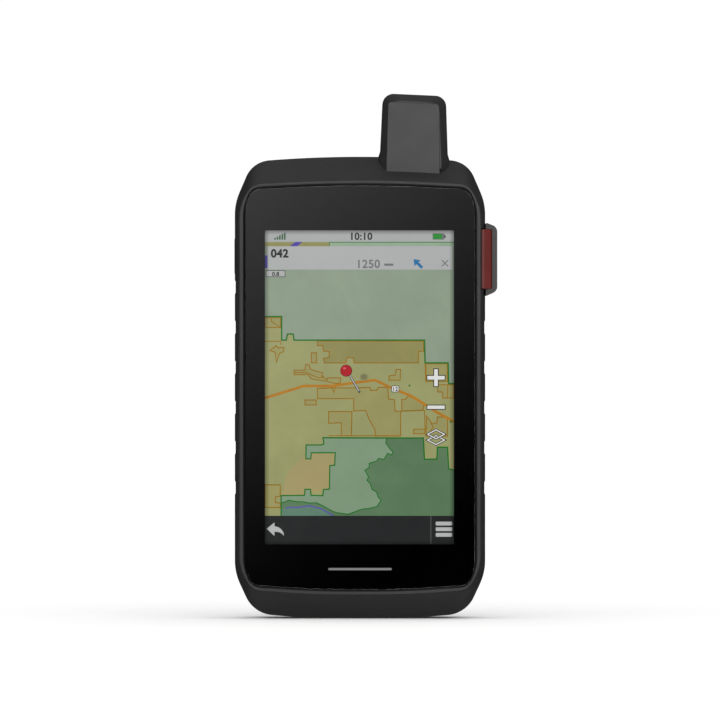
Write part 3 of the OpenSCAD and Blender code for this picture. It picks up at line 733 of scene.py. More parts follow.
CREEK = [(5.6, 14.9), (7, 15.2), (8.1, 15.8), (11, 15.3), (13.5, 15.2), (15.6, 14.8), (17.9, 14.9),
         (20.6, 13.6), (23.4, 12), (25.2, 11.4), (27, 11.2), (28.8, 10.9), (31, 11.7), (33.7, 12.7),
         (36.4, 13), (38.9, 13.6), (40.3, 15.8)]
DRY = [(5.6, 17.4), (13.7, 17.5), (22.4, 19.7), (22.5, 27.8), (24.2, 28), (24.4, 32.3), (15, 32.3), (8, 26)]
RIVER = [(7.1, 13.1), (9.4, 13.4), (11.6, 13.3), (13.6, 13.6), (15.5, 13.9), (17.6, 13.3), (19.4, 12.9),
         (21.6, 11.7), (23.9, BAR_H)]
ROAD = [(0, 51.3), (6.8, 53.4), (13.5, 55.5), (23.6, 55.5), (31, 56.6), (38.2, 57.5), (40.8, 56.3),
        (43.4, 55), (50.8, 52), (55.8, 48.9), (59.3, 46.6), (SCREEN_W, 43.1)]
FIELDS = [
    [(18.2, 71.1), (18.2, 69.5), (20.1, 69.5), (20.3, 67.6), (22.3, 67.4), (22.3, 65.4), (20.3, 65),
     (20.7, 63.5), (28.1, 63.5), (28.5, 65.3), (30.6, 65.3), (31, 63.5), (53.3, 63.5), (53.3, 67.4),
     (55.1, 67.6), (55.1, 71.1)],
    [(16.1, 63.5), (17.9, 63.5), (17.9, 67), (16.1, 67)],
    [(10.1, 59.4), (13.5, 59.4), (14.8, 59.5), (16.2, 57.9), (21, 57.2), (24.4, 56.3), (26.1, 56.5),
     (26.3, 58.3), (21.7, 58.3), (21.6, 57.6), (19.7, 58.7), (20.1, 60), (15.9, 61.2), (15.3, 62.9),
     (14.1, 62.9), (13.9, 61), (10.1, 61)],
    [(0, 75.8), (5.4, 75.8), (5.4, 79.2), (0, 79.2)],
    [(1.7, 67.8), (3.9, 69.5), (4.6, 68.7), (6.6, 68.9), (6.4, 67.4), (5, 66.8), (4, 63.7), (3.5, 67.2)],
    [(18.2, 51.1), (18.2, 54.6), (23.2, 54.8), (30.6, 54.8), (36.4, 55), (36.6, 54), (38.9, 54), (39.3, 55),
     (42.6, 55), (43, 50.9), (45, 50.7), (45.2, 46.7), (47.1, 46.7), (47.1, 38.1), (38.4, 38.1), (38.2, 40.2),
     (36, 44.3), (34.9, 47), (30.8, 46.8), (30.8, 51.1)],
    [(22.1, 46.6), (30.2, 46.6), (30, 38.2), (26.5, 38.2), (26.5, 42.7), (22.1, 42.5)],
    [(13.9, 48.9), (17.8, 48.9), (17.8, 50.6), (13.9, 50.6)],
    [(43, 57.5), (46.9, 57.5), (47.1, 61.2), (45.6, 61.2), (45.2, 59.2), (43.2, 59)],
    [(47.5, 46.8), (55, 47.1), (55.2, 49.4), (49.8, 52), (48.8, 50.9), (47.5, 50.8)],
    [(51.7, 38.9), (55.4, 38.9), (55.6, 40.5), (51.6, 40.4)],
    [(55.9, 38), (56.1, 45), (58.1, 42.4), (59.7, 42.7), (59.9, 44.7), (63.4, 44.7), (63.4, 38)],
    [(55.9, 57), (55.9, 63.2), (63.3, 63.2), (63.3, 57)],
    [(59.7, 55.9), (60.1, 53.4), (61.6, 53.4), (61.8, 51.3), (SCREEN_W, 51.3), (SCREEN_W, 55.9)],
    [(0, 21.2), (5.3, 21.1), (5.3, 17.2), (3.7, 17), (3.5, 15), (5.3, 14.8), (5.3, 13.3), (0, 13.3)],
]
TRAILS = [
    [(2.1, 79.2), (2.3, 77.8), (5, 76.1)],
    [(0, 71), (5.4, 71), (5.6, 69.7)],
    [(10.1, 60.2), (14.6, 60.1), (16.4, 59.2)],
    [(16.4, 59.2), (19, 58.2), (20.6, 58.9)],
    [(18.2, 51.1), (30.8, 51.1)],
    [(22.1, 38.2), (47.1, 38.2)],
    [(47.1, 46.7), (55.4, 47), (55.6, 40.5)],
    [(23.2, 54.8), (24, 53.2), (24.5, 55.4)],
    [(55.6, 63.4), (55.8, 57.4)],
    [(57.6, 42.8), (58.4, 41), (57.4, 39.8), (58.6, 39.2)],
    [(63.4, 51.3), (63.5, 55.9)],
]


def draw_map(picture):
    top = SCREEN_H - 3.9
    picture.box("meadow", 0, SCREEN_W, BAR_H, top)
    picture.shape("forest", NORTH + [(SCREEN_W, top), (0, top)])
    picture.shape("dry", DRY)
    picture.shape("wood", SOUTH_WEST + VALLEY + CREEK[::-1][1:])
    picture.shape("deep", [(SCREEN_W, BAR_H), (SCREEN_W, 26.3)] + SOUTH_EAST[::-1][1:-1] + VALLEY[1:] +
                  CREEK[::-1][1:] + [(5.6, BAR_H)])
    picture.shape("lake", RIVER + [(5.6, BAR_H), (5.6, 12.6)])
    for k, field in enumerate(FIELDS):
        picture.shape("plot" if k else "field", field)
        picture.line("parcel", field, 0.38, closed=True)
    for trail in TRAILS:
        picture.line("parcel", trail, 0.34)
    picture.line("river", RIVER, 0.45)
    for border, width in ((CREEK, 0.38), (VALLEY, 0.36), (SOUTH_WEST, 0.44), (SOUTH_EAST, 0.5), (NORTH, 0.5)):
        picture.line("edge", border, width)
    picture.line("road", ROAD, 0.95)
    picture.box("dark", 43.9, 46.6, 53.3, 55.6, 0.5)
    picture.box("white", 44.1, 46.4, 53.5, 55.4, 0.4)
    picture.digits("dark", "12", 45.2, 53.75, 1.9)
    picture.disc("shade", 34.4, 58.6, 1.5, 0.85)
    picture.disc("shadow", 34.3, 58.6, 0.95, 0.85)
    picture.disc("edge", 50.2, 55.6, 0.35)
    picture.disc("edge", 64.6, 43.1, 0.4)


def draw_pin(picture):
    picture.line("dark", [(28.9, 60.2), (32.9, 53.2)], 0.75)
    picture.line("symbol", [(28.9, 60.2), (32.7, 53.6)], 0.36)
    picture.disc("maroon", 28.2, 60.8, 2.1)
    picture.disc("red", 28.15, 60.85, 1.85)
    picture.disc("glow", 27.6, 61.6, 0.5, 0.8)


def outlined(draw):
    """Draws a white symbol over a slightly larger dark one."""
    draw("dark", 0.3)
    draw("white", 0.0)


def draw_controls(picture):
    def plus(paint, grow):
        picture.box(paint, 56.4 - grow, 62.4 + grow, 57.7 - grow, 59.0 + grow)
        picture.box(paint, 58.75 - grow, 60.05 + grow, 55.4 - grow, 61.3 + grow)

    def minus(paint, grow):
        picture.box(paint, 56.4 - grow, 62.4 + grow, 47.5 - grow, 48.7 + grow)

    outlined(plus)
    outlined(minus)
    for v in (36.7, 38.7):
        diamond = [(56.5, v), (59.4, v - 1.55), (62.3, v), (59.4, v + 1.55)]
        picture.line("dark", diamond, 0.85, closed=True)
        picture.line("white", diamond, 0.36, closed=True)


def draw_frames(picture):
    top = SCREEN_H
    picture.box("haze", 0, SCREEN_W, top - 5.5, top - 3.9)
    picture.box("field", 0, 22.4, top - 5.5, top - 4.1)
    picture.line("edge", [(22.4, top - 5.5), (22.4, top - 4.1), (SCREEN_W, top - 4.1)], 0.25)
    picture.shape("violet", [(8.6, top - 5.5), (10.6, top - 4), (13, top - 4), (11.2, top - 5.5)])
    picture.box("status", 0, SCREEN_W, top - 3.9, top)
    for k in range(5):
        picture.box("signal", 3.2 + 0.85 * k, 3.75 + 0.85 * k, top - 3.2, top - 2.6 + 0.45 * k)
    picture.digits("dark", "10:10", 33.3, top - 3.2, 3.4)
    picture.box("mid", 58.2, 62.3, top - 3.2, top - 1, 0.3)
    picture.box("green", 58.4, 61.5, top - 3.0, top - 1.2, 0.2)
    picture.box("dark", 62.3, 62.7, top - 2.6, top - 1.6)
    picture.box("panel", 0.9, SCREEN_W - 0.5, 95.9, 104, 0.3)
    picture.digits("dark", "042", 5.1, 100.2, 3.9, 0.04)
    picture.digits("mid", "1250", 35.8, 96.5, 4.0, 0.02)
    picture.box("mid", 41.4, 44.6, 97.2, 98.0, 0.3)
    arrow = [(0, 2.3), (1.5, 0.3), (0.5, 0.3), (0.5, -2), (-0.5, -2), (-0.5, 0.3), (-1.5, 0.3)]
    c = math.cos(math.radians(45))
    picture.shape("blue", [(53.2 + c * (a - b), 97.9 + c * (a + b)) for a, b in arrow])
    picture.line("mid", [(61.4, 97), (63.6, 99.2)], 0.35)
    picture.line("mid", [(61.4, 99.2), (63.6, 97)], 0.35)
    picture.box("violet", 0, 0.9, 96.4, 100.8)
    picture.box("dark", 0.3, 7.1, 93.3, 95.7, 0.2)
    picture.box("panel", 0.5, 6.9, 93.5, 95.5, 0.2)
    picture.digits("dark", "0.8", 3.7, 93.75, 1.9)
    picture.box("bar", 0, SCREEN_W, 0.5, BAR_H)
    picture.box("mid", 57.55, 57.7, 0.6, BAR_H)
    for v in (3.8, 5.75, 7.7):
        picture.box("symbol", 59.3, 65.0, v - 0.66, v + 0.66, 0.3)
    back = [(0.6, 5.9), (3.3, 8.1), (3.3, 6.8), (4.6, 6.5), (5.7, 5.7), (6.4, 4.6), (6.6, 3.4), (5.9, 4.2),
            (4.8, 4.75), (3.3, 4.9), (3.3, 3.4)]
    picture.shape("symbol", back)


def make_picture():
    picture = Picture()
    draw_map(picture)
    draw_pin(picture)
    draw_controls(picture)
    draw_frames(picture)
    obj = picture.finish("display_picture")
    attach(obj, "root")
    mark = prism("touch_key_mark", rectangle(-11, 11, 16.9, 17.7, 0.38, 6), Y_GLASS, Y_GLASS + 0.008)
    piece(mark, "root", PAINTS["symbol"], "display")


make_picture()


# ---------------------------------------------------------------- antenna
ANT_X = 18.85
ANT_TOP = corner("antenna_housing", 1).z
ANT_W = 23.3
ANT_FRONT = corner("antenna_front_cover", 0).y


def antenna_outline(d, flare=0.0):
    """Front outline of the antenna grown by d, with a skirt that spreads by flare at the casing."""
    left = ANT_X - ANT_W / 2 - 0.35
    right = ANT_X + ANT_W / 2 + 0.2
    return rounded([
        (left - d - flare, 154 - d, 0.5, 2), (right + d + flare, 154 - d, 0.5, 2),
        (right + d + flare, 158.6, 1, 4), (right + d - 0.15, 161.6, 3, 8),
        (right - 0.8 + d, ANT_TOP - 1 + d, 3.9, 14), (left + 1.1 - d, ANT_TOP + d, 3.9, 14),
        (left - d + 0.15, 162.6, 3, 8), (left - d - flare, 159.8, 1, 4)])


def make_antenna():
    bevel = [(0.12, -3.0), (0.12, -2.45), (0.2, -2.28), (0.4, -2.08), (1.1, -1.4), (1.9, -0.68), (2.5, -0.22),
             (3.1, -0.03), (3.8, 0.0)]
    slope = [(ANT_FRONT + y, d) for y, d in bevel]
    slope += [(-4, 0.0), (2, 0.0), (5.6, 0.0), (6.6, -0.1), (7.6, -0.5), (8.4, -1.1), (9.0, -1.8),
              (9.35, -2.6), (9.5, -3.4)]
    rings = [ring(antenna_outline(d, 0.75 * smooth((y + 9) / 4)), y) for y, d in slope]
    shell = loft("antenna_housing_shell", rings, angle=50)
    piece(shell, "root", HOUSING, "housing_plastic", "antenna_housing")

    def panel(d):
        return rounded([(ANT_X - 9.75 - d, 153.9 - d, 0.5, 4), (ANT_X + 8.85 + d, 153.9 - d, 0.5, 4),
                        (ANT_X + 8.7 + d, ANT_TOP - 3.9 + d, 1.2, 6),
                        (ANT_X - 9.05 - d, ANT_TOP - 3.0 + d, 1.2, 6)])

    rim = [(0.3, 0.0), (0.1, 0.0), (0.03, -0.08), (0.0, -0.2)]
    # its finish is lighter than the housing's, partly by painted front light
    cover = loft("antenna_front_panel", [ring(panel(d), ANT_FRONT + y) for y, d in rim], angle=50)
    piece(cover, "root", COVER_FRONT_LIT, "antenna_cover_plastic", "antenna_front_cover")


make_antenna()


# ---------------------------------------------------------------- emergency button, its guard and hinge
SOS_AXIS = [HALF_W + 1.9, 8.3]
GUARD_D = 4.1                   # how far the guard stands off the side wall
KNUCKLE_Z = (118.6, 131.4)      # the housing's knuckle, with the guard's above and below it
KNUCKLE_R = 1.6


def make_guard():
    z0, z1 = SOS_Z
    x0 = HALF_W + 0.12
    x1 = HALF_W + GUARD_D
    outer = [(x0, z0 - 2.5, 0.3, 2), (x1, z0 - 0.75, 2.4, 8), (x1, z1 + 0.7, 2.4, 8), (x0, z1 + 2.3, 0.3, 2)]
    window_x = HALF_W + 2.3
    bracket = outer + [(x0, z1, 0.1, 1), (window_x, z1, 0.5, 4), (window_x, z0, 0.5, 4), (x0, z0, 0.1, 1)]
    front = prism("guard_front", rounded(bracket), -11, 4.9)
    back = prism("guard_back", rounded(outer), 4.9, 6.2)
    parts = [back]
    for low, high in ((z0 - 0.8, KNUCKLE_Z[0] - 0.3), (KNUCKLE_Z[1] + 0.3, z1 + 0.8)):
        parts.append(rod("knuckle", SOS_AXIS[0], SOS_AXIS[1], low, high, KNUCKLE_R, "Z", 40))
        root = rectangle(SOS_AXIS[0] - 0.9, SOS_AXIS[0] + KNUCKLE_R, 5.9, SOS_AXIS[1])
        parts.append(prism("arm", root, low, high, "Z"))
    guard = weld(front, *parts)
    bore = rod("bore", SOS_AXIS[0], SOS_AXIS[1], 100, 150, 0.75, "Z", 32)
    cut(guard, bore)
    guard.name = "sos_guard_shell"
    soften(guard, 0.35, 3, 40)
    piece(guard, "guard", GUARD, "guard_plastic", "sos_guard")
    tab = [(HALF_W - 1.45, -13.0, 0.2, 4), (HALF_W - 0.4, -12.76, 0.2, 5), (window_x - 0.06, -10.6, 0.3, 4),
           (window_x - 0.06, -8.65, 0, 1), (HALF_W + 0.15, -8.65, 0, 1), (HALF_W - 0.2, -9.4, 0, 1),
           (HALF_W - 1.45, -11.4, 0, 1)]
    insert = prism("sos_lift_tab", rounded(tab), z0 + 0.06, z1 - 0.06, "Z")
    soften(insert, 0.22, 3, 40)
    piece(insert, "guard", RED, "sos_red", "sos_guard_insert")


def make_key(name, side, low, high, face, body, material, slot, node):
    """Rounded key in the side wall, between two (y, z) corners, with its flange behind the wall."""
    def outline_at(d):
        return rectangle(low[0] + d, high[0] - d, low[1] + d, high[1] - d, 1.9 - d * 0.6, 8)

    steps = [(face, 0.75), (face - 0.05, 0.5), (face - 0.18, 0.26), (face - 0.42, 0.08), (face - 0.75, 0.0),
             (40.6, 0.0), (40.6, -1.0), (39.5, -1.0)]
    rings = [ring(outline_at(d), side * x, "X") for x, d in steps]
    obj = loft(name, rings, angle=50)
    piece(obj, body, material, slot, node)
    return obj


make_guard()
make_key("sos_button_cap", 1, (-3, 119), (4, 131), HALF_W + 1, "sos_key", RED, "sos_red", "sos_button")
make_key("power_key_cap", -1, (-2.5, 119.5), (3.5, 132.8), HALF_W + 0.2, "power_button", HOUSING,
         "housing_plastic", "power_key")


# ---------------------------------------------------------------- rear housing
ROUND_STEPS = 9
HOUSING_WALL = 2.8
Y_INNER = 9.2                   # inner face of the rear wall
BAY = [29.4, 32.9, 104.1]       # battery bay: half width, foot and top
DOOR = [33.0, 12.4, 108.0]      # battery door, in the same order
DOOR_AXIS = [11.9, 110.0]       # y and z of its hinge
DOOR_FACE = corner("battery_door", 1).y
LUG_X = 12.0                    # hinge lugs of the door
LUG_W = 6.0
LATCH_Z = 23.5
LATCH_R = 4.25
SCREW_X = 37.2                  # housing screws
SCREW_Z = (20.0, 80.0, 139.0)
JACK = (26.0, 132.0)            # antenna jack, x and z
SPEAKER = (-25, 131)            # middle of its group of holes, and their spacing
SPEAKER_STEP = 2.6
CONTACT_Z = 113.7               # row of cradle contacts
CONTACT_STEP = 3.2
USB_X = 18.0
KEY_DEPTH = 38.0                # the keys' windows start here, inside the side wall
POCKET_EDGE = 0.3
BORE_END = Y_BACK + 1           # cutters run to here, clear of the back


def edge_steps(y, r):
    """Quarter round of radius r that ends at y, as (y, how far the outline has drawn in)."""
    angles = [math.pi / 2 * i / 4 for i in range(5)]
    return [(y - r + r * math.sin(a), r * (1 - math.cos(a))) for a in angles]


def pocket(shape, floor, top=Y_BACK, r=POCKET_EDGE):
    """Cutter for a recess whose rim is rounded by r: shape(d) is its outline grown by d."""
    steps = edge_steps(top, r)
    rings = [ring(shape(0.0), floor)] + [ring(shape(d), y) for y, d in steps]
    rings.append(ring(shape(steps[-1][1]), top + 4))
    return loft("pocket", rings)


def slab_shape(x0, x1, z0, z1, r, n=5):
    return lambda d: rectangle(x0 - d, x1 + d, z0 - d, z1 + d, r + d, n)


def disc_shape(x, z, r, n=40):
    return lambda d: circle(x, z, r + d, n)


def side_cutter(side, low, high, r):
    """Cutter for a key's window through a side wall, between two corners given as (y, z)."""
    points = rectangle(low[0], high[0], low[1], high[1], r, 8)
    return prism("side_cutter", points, side * KEY_DEPTH, side * (HALF_W + 3), "X")


def solid(name, shape, y0, y1, r=0.3, back=0.0):
    """Flat solid whose outline is shape(0), with its rim at y1 rounded by r and the one at y0 by back."""
    rings = [ring(shape(0.0), y0)]
    if back:
        rings = [ring(shape(-d), y0 + y1 - y) for y, d in edge_steps(y1, back)[::-1]]
    rings += [ring(shape(-d), y) for y, d in edge_steps(y1, r)]
    return loft(name, rings)


def rear_shell():
    """Outer wall of the rear housing, from the seam to the rounded edge of the back."""
    wall = HOUSING_WALL
    floor = 1.2
    front = Y_SEAM + 0.02
    section = [(Y_INNER, wall, 0.0), (front, wall, 0.0), (front, 0.3, floor), (front + 0.08, 0.07, floor),
               (front + 0.28, 0.0, floor), (-1, 0.0, floor), (4, 0.0, floor), (8.13, 0.0, floor),
               (8.17, 0.0, 0.0)]
    for i in range(1, ROUND_STEPS + 1):
        a = math.pi / 2 * i / ROUND_STEPS
        section.append((Y_FULL + (Y_BACK - Y_FULL) * math.sin(a), BACK_EDGE * (1 - math.cos(a)), 0.0))
    return loft("rear_housing_shell", [casing_ring(y, inset(d), f) for y, d, f in section])


def cut_sides(shell):
    """Windows of the two keys, and the USB mouth and the lanyard's pocket in the bottom."""
    cut(shell,
        side_cutter(-1, (-2.65, 119.35), (3.65, 132.95), 2),
        side_cutter(1, (-3.15, 118.85), (4.15, 131.15), 2),
        prism("usb_mouth", rectangle(USB_X - 8.3, USB_X + 8.3, -2.4, 6.4, 1.2), -1, 2.6, "Z"),
        prism("usb_hole", rectangle(USB_X - 4.6, USB_X + 4.6, -0.7, 3.1, 1.4), 1, 10, "Z"),
        prism("lanyard_pocket", rectangle(-30.5, -24.5, 7.4, 16, 1.0), -1, 6.6, "Z"))


def cut_back(shell):
    """Recesses of the door, the spine and the jack's cap, the battery bay and all the bores."""
    door = slab_shape(-DOOR[0] - 0.2, DOOR[0] + 0.2, DOOR[1] - 0.2, DOOR[2] + 0.6, 5, 10)
    jack = slab_shape(JACK[0] - 6, JACK[0] + 8.1, JACK[1] - 5.2, JACK[1] + 5.2, 1.2)
    cut(shell, pocket(door, Y_DOOR), pocket(slab_shape(-12.1, 12.1, 115.4, 148.6, 2.1), 11.75),
        pocket(jack, Y_BACK - 1.65))
    seal = slab_shape(-32.2, 32.2, 30.7, 106.3, 3)
    seal_ring = prism("seal_ring", seal(0.0), 10, Y_DOOR + 0.01)
    cut(seal_ring, prism("seal_core", slab_shape(-31, 31, 31.9, 105.1, 2.5)(0.0), 9, Y_BACK))
    cut(shell, prism("bay", rectangle(-BAY[0], BAY[0], BAY[1], BAY[2], 2, 5), -1.4, Y_BACK), seal_ring)
    rods = [rod("bore", 0, LATCH_Z, 4, Y_BACK, LATCH_R), rod("bore", JACK[0], JACK[1], 8, Y_BACK, 2.65)]
    grid = [(i, j) for i in range(-2, 3) for j in range(-2, 3) if abs(i) + abs(j) < 4]
    for i, j in grid:
        x, z = SPEAKER[0] + SPEAKER_STEP * i, SPEAKER[1] + SPEAKER_STEP * j
        rods.append(rod("bore", x, z, 8, BORE_END, 0.8, "Y", 20))
    rods += [rod("bore", CONTACT_STEP * i, CONTACT_Z, 8, BORE_END, 0.95, "Y", 28) for i in range(-2, 3)]
    cut(shell, join("bores", *rods))
    cut(shell, *[pocket(disc_shape(s * SCREW_X, z, 1.85), 8, Y_BACK, 0.0) for s in (-1, 1) for z in SCREW_Z])
    for s in (-1, 1):
        slot = rectangle(s * LUG_X - LUG_W / 2 - 0.25, s * LUG_X + LUG_W / 2 + 0.25, DOOR[2] - 1,
                         DOOR_AXIS[1] + 1.8, 0.3, 3)
        cut(shell, prism("hinge_slot", slot, DOOR_AXIS[0] - 1.7, BORE_END))


def bay_tub():
    outer = rectangle(-BAY[0] - 1.5, BAY[0] + 1.5, BAY[1] - 1.5, BAY[2] + 1.5, 3, 6)
    tub = prism("tub", outer, -2.6, Y_INNER)
    cut(tub, prism("hollow", rectangle(-BAY[0], BAY[0], BAY[1], BAY[2], 2, 6), -1.4, Y_BACK))
    cut(tub, *[rod("bore", x, 36.5, -3, 0, 0.95, "Y", 24) for x in (-9, -3, 3, 9)])
    return tub


def make_rear_housing():
    shell = rear_shell()
    cut_sides(shell)
    cut_back(shell)
    boss = rod("latch_boss", 0, LATCH_Z, 2.6, Y_INNER, 6)
    cut(boss, rod("bore", 0, LATCH_Z, 4, Y_BACK, LATCH_R))
    ends = (118.6, 131.4)
    knuckle = rod("hinge_knuckle", SOS_AXIS[0], SOS_AXIS[1], *ends, 1.6, "Z", 40)
    root = rectangle(HALF_W - 0.9, SOS_AXIS[0], SOS_AXIS[1] - 1.4, SOS_AXIS[1] + 1.2, 0.1, 2)
    body = join("rear_housing_shell", shell, bay_tub(), boss, knuckle, prism("hinge_arm", root, *ends, "Z"))
    shade(body, 38)
    piece(body, "root", REAR, "housing_plastic", "rear_housing")


make_rear_housing()


def make_grip(name, side, node):
    """Rubber pad in the side wall, with the finger notches pressed into it."""
    z0, z1 = GRIP_Z[side]
    heights = [z0 + 0.6 * (1 - math.cos(math.pi / 2 * i / 4)) for i in range(5)]
    heights += [z for z in SIDE_HEIGHTS if z0 + 0.7 < z < z1 - 0.7]
    heights += [z1 - 0.6 + 0.6 * math.sin(math.pi / 2 * i / 4) for i in range(5)]

    def pad(y, sink, shrink):
        scale = (z1 - z0 - 2 * shrink) / (z1 - z0)
        middle = (z0 + z1) / 2
        outer = []
        for z in heights:
            edge = max(0.0, 0.6 - min(z - z0, z1 - z)) ** 2 * 0.6
            outer.append((side * (HALF_W - notch(z, side) - sink - edge), y, middle + (z - middle) * scale))
        x = side * (HALF_W - 1.18)
        return outer + [(x, y, z1 - 0.1 - shrink), (x, y, z0 + 0.1 + shrink)]

    steps = [(Y_SEAM + 0.07, 0.45, 0.3), (Y_SEAM + 0.14, 0.2, 0.14), (Y_SEAM + 0.3, 0.05, 0.04)]
    steps += [(Y_SEAM + 0.5, 0.0, 0.0)]
    steps += [(y, 0.0, 0.0) for y in (-2.5, 0.5, 3.5, 6.5)]
    steps += [(7.6, 0.0, 0.0), (7.82, 0.05, 0.04), (7.98, 0.2, 0.14), (8.06, 0.45, 0.3)]
    obj = loft(name, [pad(*s) for s in steps], angle=45)
    piece(obj, "root", RUBBER, "grip_rubber", node)


make_grip("grip_pad_left", -1, "side_grip_left")
make_grip("grip_pad_right", 1, "side_grip_right")


# ---------------------------------------------------------------- battery, its door, the latch and the D-ring
RING_AXIS = (14.3, LATCH_Z + 4.9)
RING_LEG = 5.1
RING_DROP = 6.0


def make_door():
    shape = slab_shape(-DOOR[0], DOOR[0], DOOR[1], DOOR[2], 5, 10)
    door = solid("battery_door_shell", shape, Y_DOOR + 0.1, DOOR_FACE, 1.0, 0.3)
    section = rectangle(Y_DOOR + 0.1, DOOR_AXIS[0] + 1.4, DOOR[2] - 1.5, DOOR_AXIS[1], 0.05, 2)
    for s in (-1, 1):
        x0, x1 = s * LUG_X - LUG_W / 2, s * LUG_X + LUG_W / 2
        lug = rod("lug", DOOR_AXIS[0], DOOR_AXIS[1], x0, x1, 1.4, "X", 40)
        weld(door, lug, prism("arm", section, x0, x1, "X"))
    cut(door, rod("bore", DOOR_AXIS[0], DOOR_AXIS[1], -20, 20, 0.66, "X", 28))
    cut(door, pocket(disc_shape(0, LATCH_Z, 8.7, 72), 12.2, DOOR_FACE, 0.35))
    cut(door, rod("bore", 0, LATCH_Z, Y_DOOR, 12.5, 2.85), rod("bore", 0, LATCH_Z, Y_DOOR, 11.5, 4.6))
    grooves = [slab_shape(-24, 24, z, z + 2.4, 1.1) for z in range(46, 95, 6)]
    cut(door, *[pocket(groove, DOOR_FACE - 0.35, DOOR_FACE, 0.3) for groove in grooves])
    shade(door, 38)
    piece(door, "door", REAR, "housing_plastic", "battery_door")


def make_knob():
    """Disc with fluted edge, a dished grip behind the D-ring and slots for the ring's two legs."""
    steps = [(8.2, 12.3, 0.0), (8.5, 12.6, 1.0), (8.5, 14.7, 1.0), (8.42, 15.0, 0.7), (8.2, 15.25, 0.3),
             (7.9, 15.4, 0.0)]
    rings = []
    for r, y, flute in steps:
        points = []
        for p in circle(0, 0, 1, 144):
            wave = 0.5 - 0.5 * math.cos(24 * math.atan2(p.y, p.x))
            out = r - 0.22 * flute * wave
            points.append((p.x * out, y, LATCH_Z + p.y * out))
        rings.append(points)
    knob = loft("latch_knob_shell", rings)
    weld(knob, rod("shaft", 0, LATCH_Z, 6, 12.4, 2.7))
    bottom = RING_AXIS[1] - RING_DROP
    cut(knob, pocket(disc_shape(0, bottom, 6.5, 56), 13, 15.4, 0.2))
    cut(knob, pocket(slab_shape(-6.4, 6.4, bottom, LATCH_Z + 3.1, 1), 13, 15.4, 0.2))
    for s in (-1, 1):
        slot = rectangle(s * RING_LEG - 1.2, s * RING_LEG + 1.2, LATCH_Z + 2, LATCH_Z + 6.3, 0.4)
        cut(knob, prism("leg_slot", slot, 12.95, 16))
    cut(knob, rod("bore", RING_AXIS[0], RING_AXIS[1], -7.4, 7.4, 0.52, "X", 28))
    shade(knob, 38)
    piece(knob, "knob", LATCH, "latch_plastic", "latch_knob")


def make_d_ring():
    """Bent wire: two eyes on the pin, two straight legs and half a turn below them."""
    y, top = RING_AXIS
    wire = 0.8
    angles = [2 * math.pi * k / 20 for k in range(20)]
    path = [(RING_LEG, top - 0.4 - i) for i in range(5)] + [(RING_LEG, top - RING_DROP)]
    path += [(RING_LEG * math.cos(a), top - RING_DROP - RING_LEG * math.sin(a))
             for a in (math.pi * i / 32 for i in range(1, 32))]
    path += [(-x, z) for x, z in path[:6][::-1]]
    rings = []
    for i, (x, z) in enumerate(path):
        x0, z0 = path[max(i - 1, 0)]
        x1, z1 = path[min(i + 1, len(path) - 1)]
        along = Vector((x1 - x0, z1 - z0)).normalized()
        rings.append([(x - along.y * wire * math.cos(a), y + wire * math.sin(a),
                       z + along.x * wire * math.cos(a)) for a in angles])
    bow = loft("d_ring_wire", rings)
    steps = [(1.02, -0.9), (1.15, -0.75), (1.15, 0.75), (1.02, 0.9)]
    weld(bow, *[loft("eye", [ring(circle(y, top, r, 32), s * RING_LEG + t, "X") for r, t in steps])
                for s in (-1, 1)])
    cut(bow, rod("bore", y, top, -8, 8, 0.53, "X", 28))
    shade(bow, 40)
    piece(bow, "ring", WIRE, "steel", "d_ring")


def make_battery():
    shape = slab_shape(-28.98, 28.98, 33.32, 103.68, 2.2, 8)
    pack = solid("battery_pack_wrap", shape, -1.2, 10.6, 1.6, 1.6)
    piece(pack, "root", WRAP, "battery_wrap", "battery_pack")
    label = solid("battery_label", slab_shape(-22, 22, 44, 90, 1.5), 10.6, 10.66, 0.02)
    piece(label, "root", PAPER, "battery_wrap")
    stripe = solid("battery_stripe", slab_shape(-22, 22, 78, 84, 0.2), 10.655, 10.68, 0.01)
    piece(stripe, "root", AMBER, "battery_wrap")
    tab = solid("battery_pull_tab", slab_shape(-6, 6, 34.5, 43, 2), 10.6, 10.74, 0.05)
    piece(tab, "root", SEAL, "battery_wrap")


make_door()
make_knob()
make_d_ring()
make_battery()


# ---------------------------------------------------------------- mounting spine and weather caps
SPINE_SCREWS = [(x, z) for x in (-9.2, 9.2) for z in (118.6, 145.4)]


def make_spine():
    plate = solid("mounting_spine_rail", slab_shape(-12, 12, 115.5, 148.5, 2, 8), 11.8, 13.3, 0.4)
    neck = prism("neck", rectangle(-4.2, 4.2, 118, 146, 1), 13.1, 16.2)
    flange = solid("flange", slab_shape(-7, 7, 118, 146, 2, 8), 16, 18.5, 0.7, 0.35)
    weld(plate, neck, flange)
    holes = [pocket(disc_shape(x, z, 1.75), 12.6, 13.3, 0.15) for x, z in SPINE_SCREWS]
    cut(plate, *holes)
    cut(plate, *[rod("bore", x, z, 11, 14, 0.9, "Y", 28) for x, z in SPINE_SCREWS])
    cut(plate, pocket(slab_shape(-3, 3, 124, 128, 1), 17.3, 18.5, 0.2))
    cut(plate, *[pocket(slab_shape(-3, 3, z, z + 1, 0.45), 18.15, 18.5, 0.1) for z in (133, 136, 139)])
    shade(plate, 38)
    piece(plate, "root", REAR, "spine_plastic", "mounting_spine")


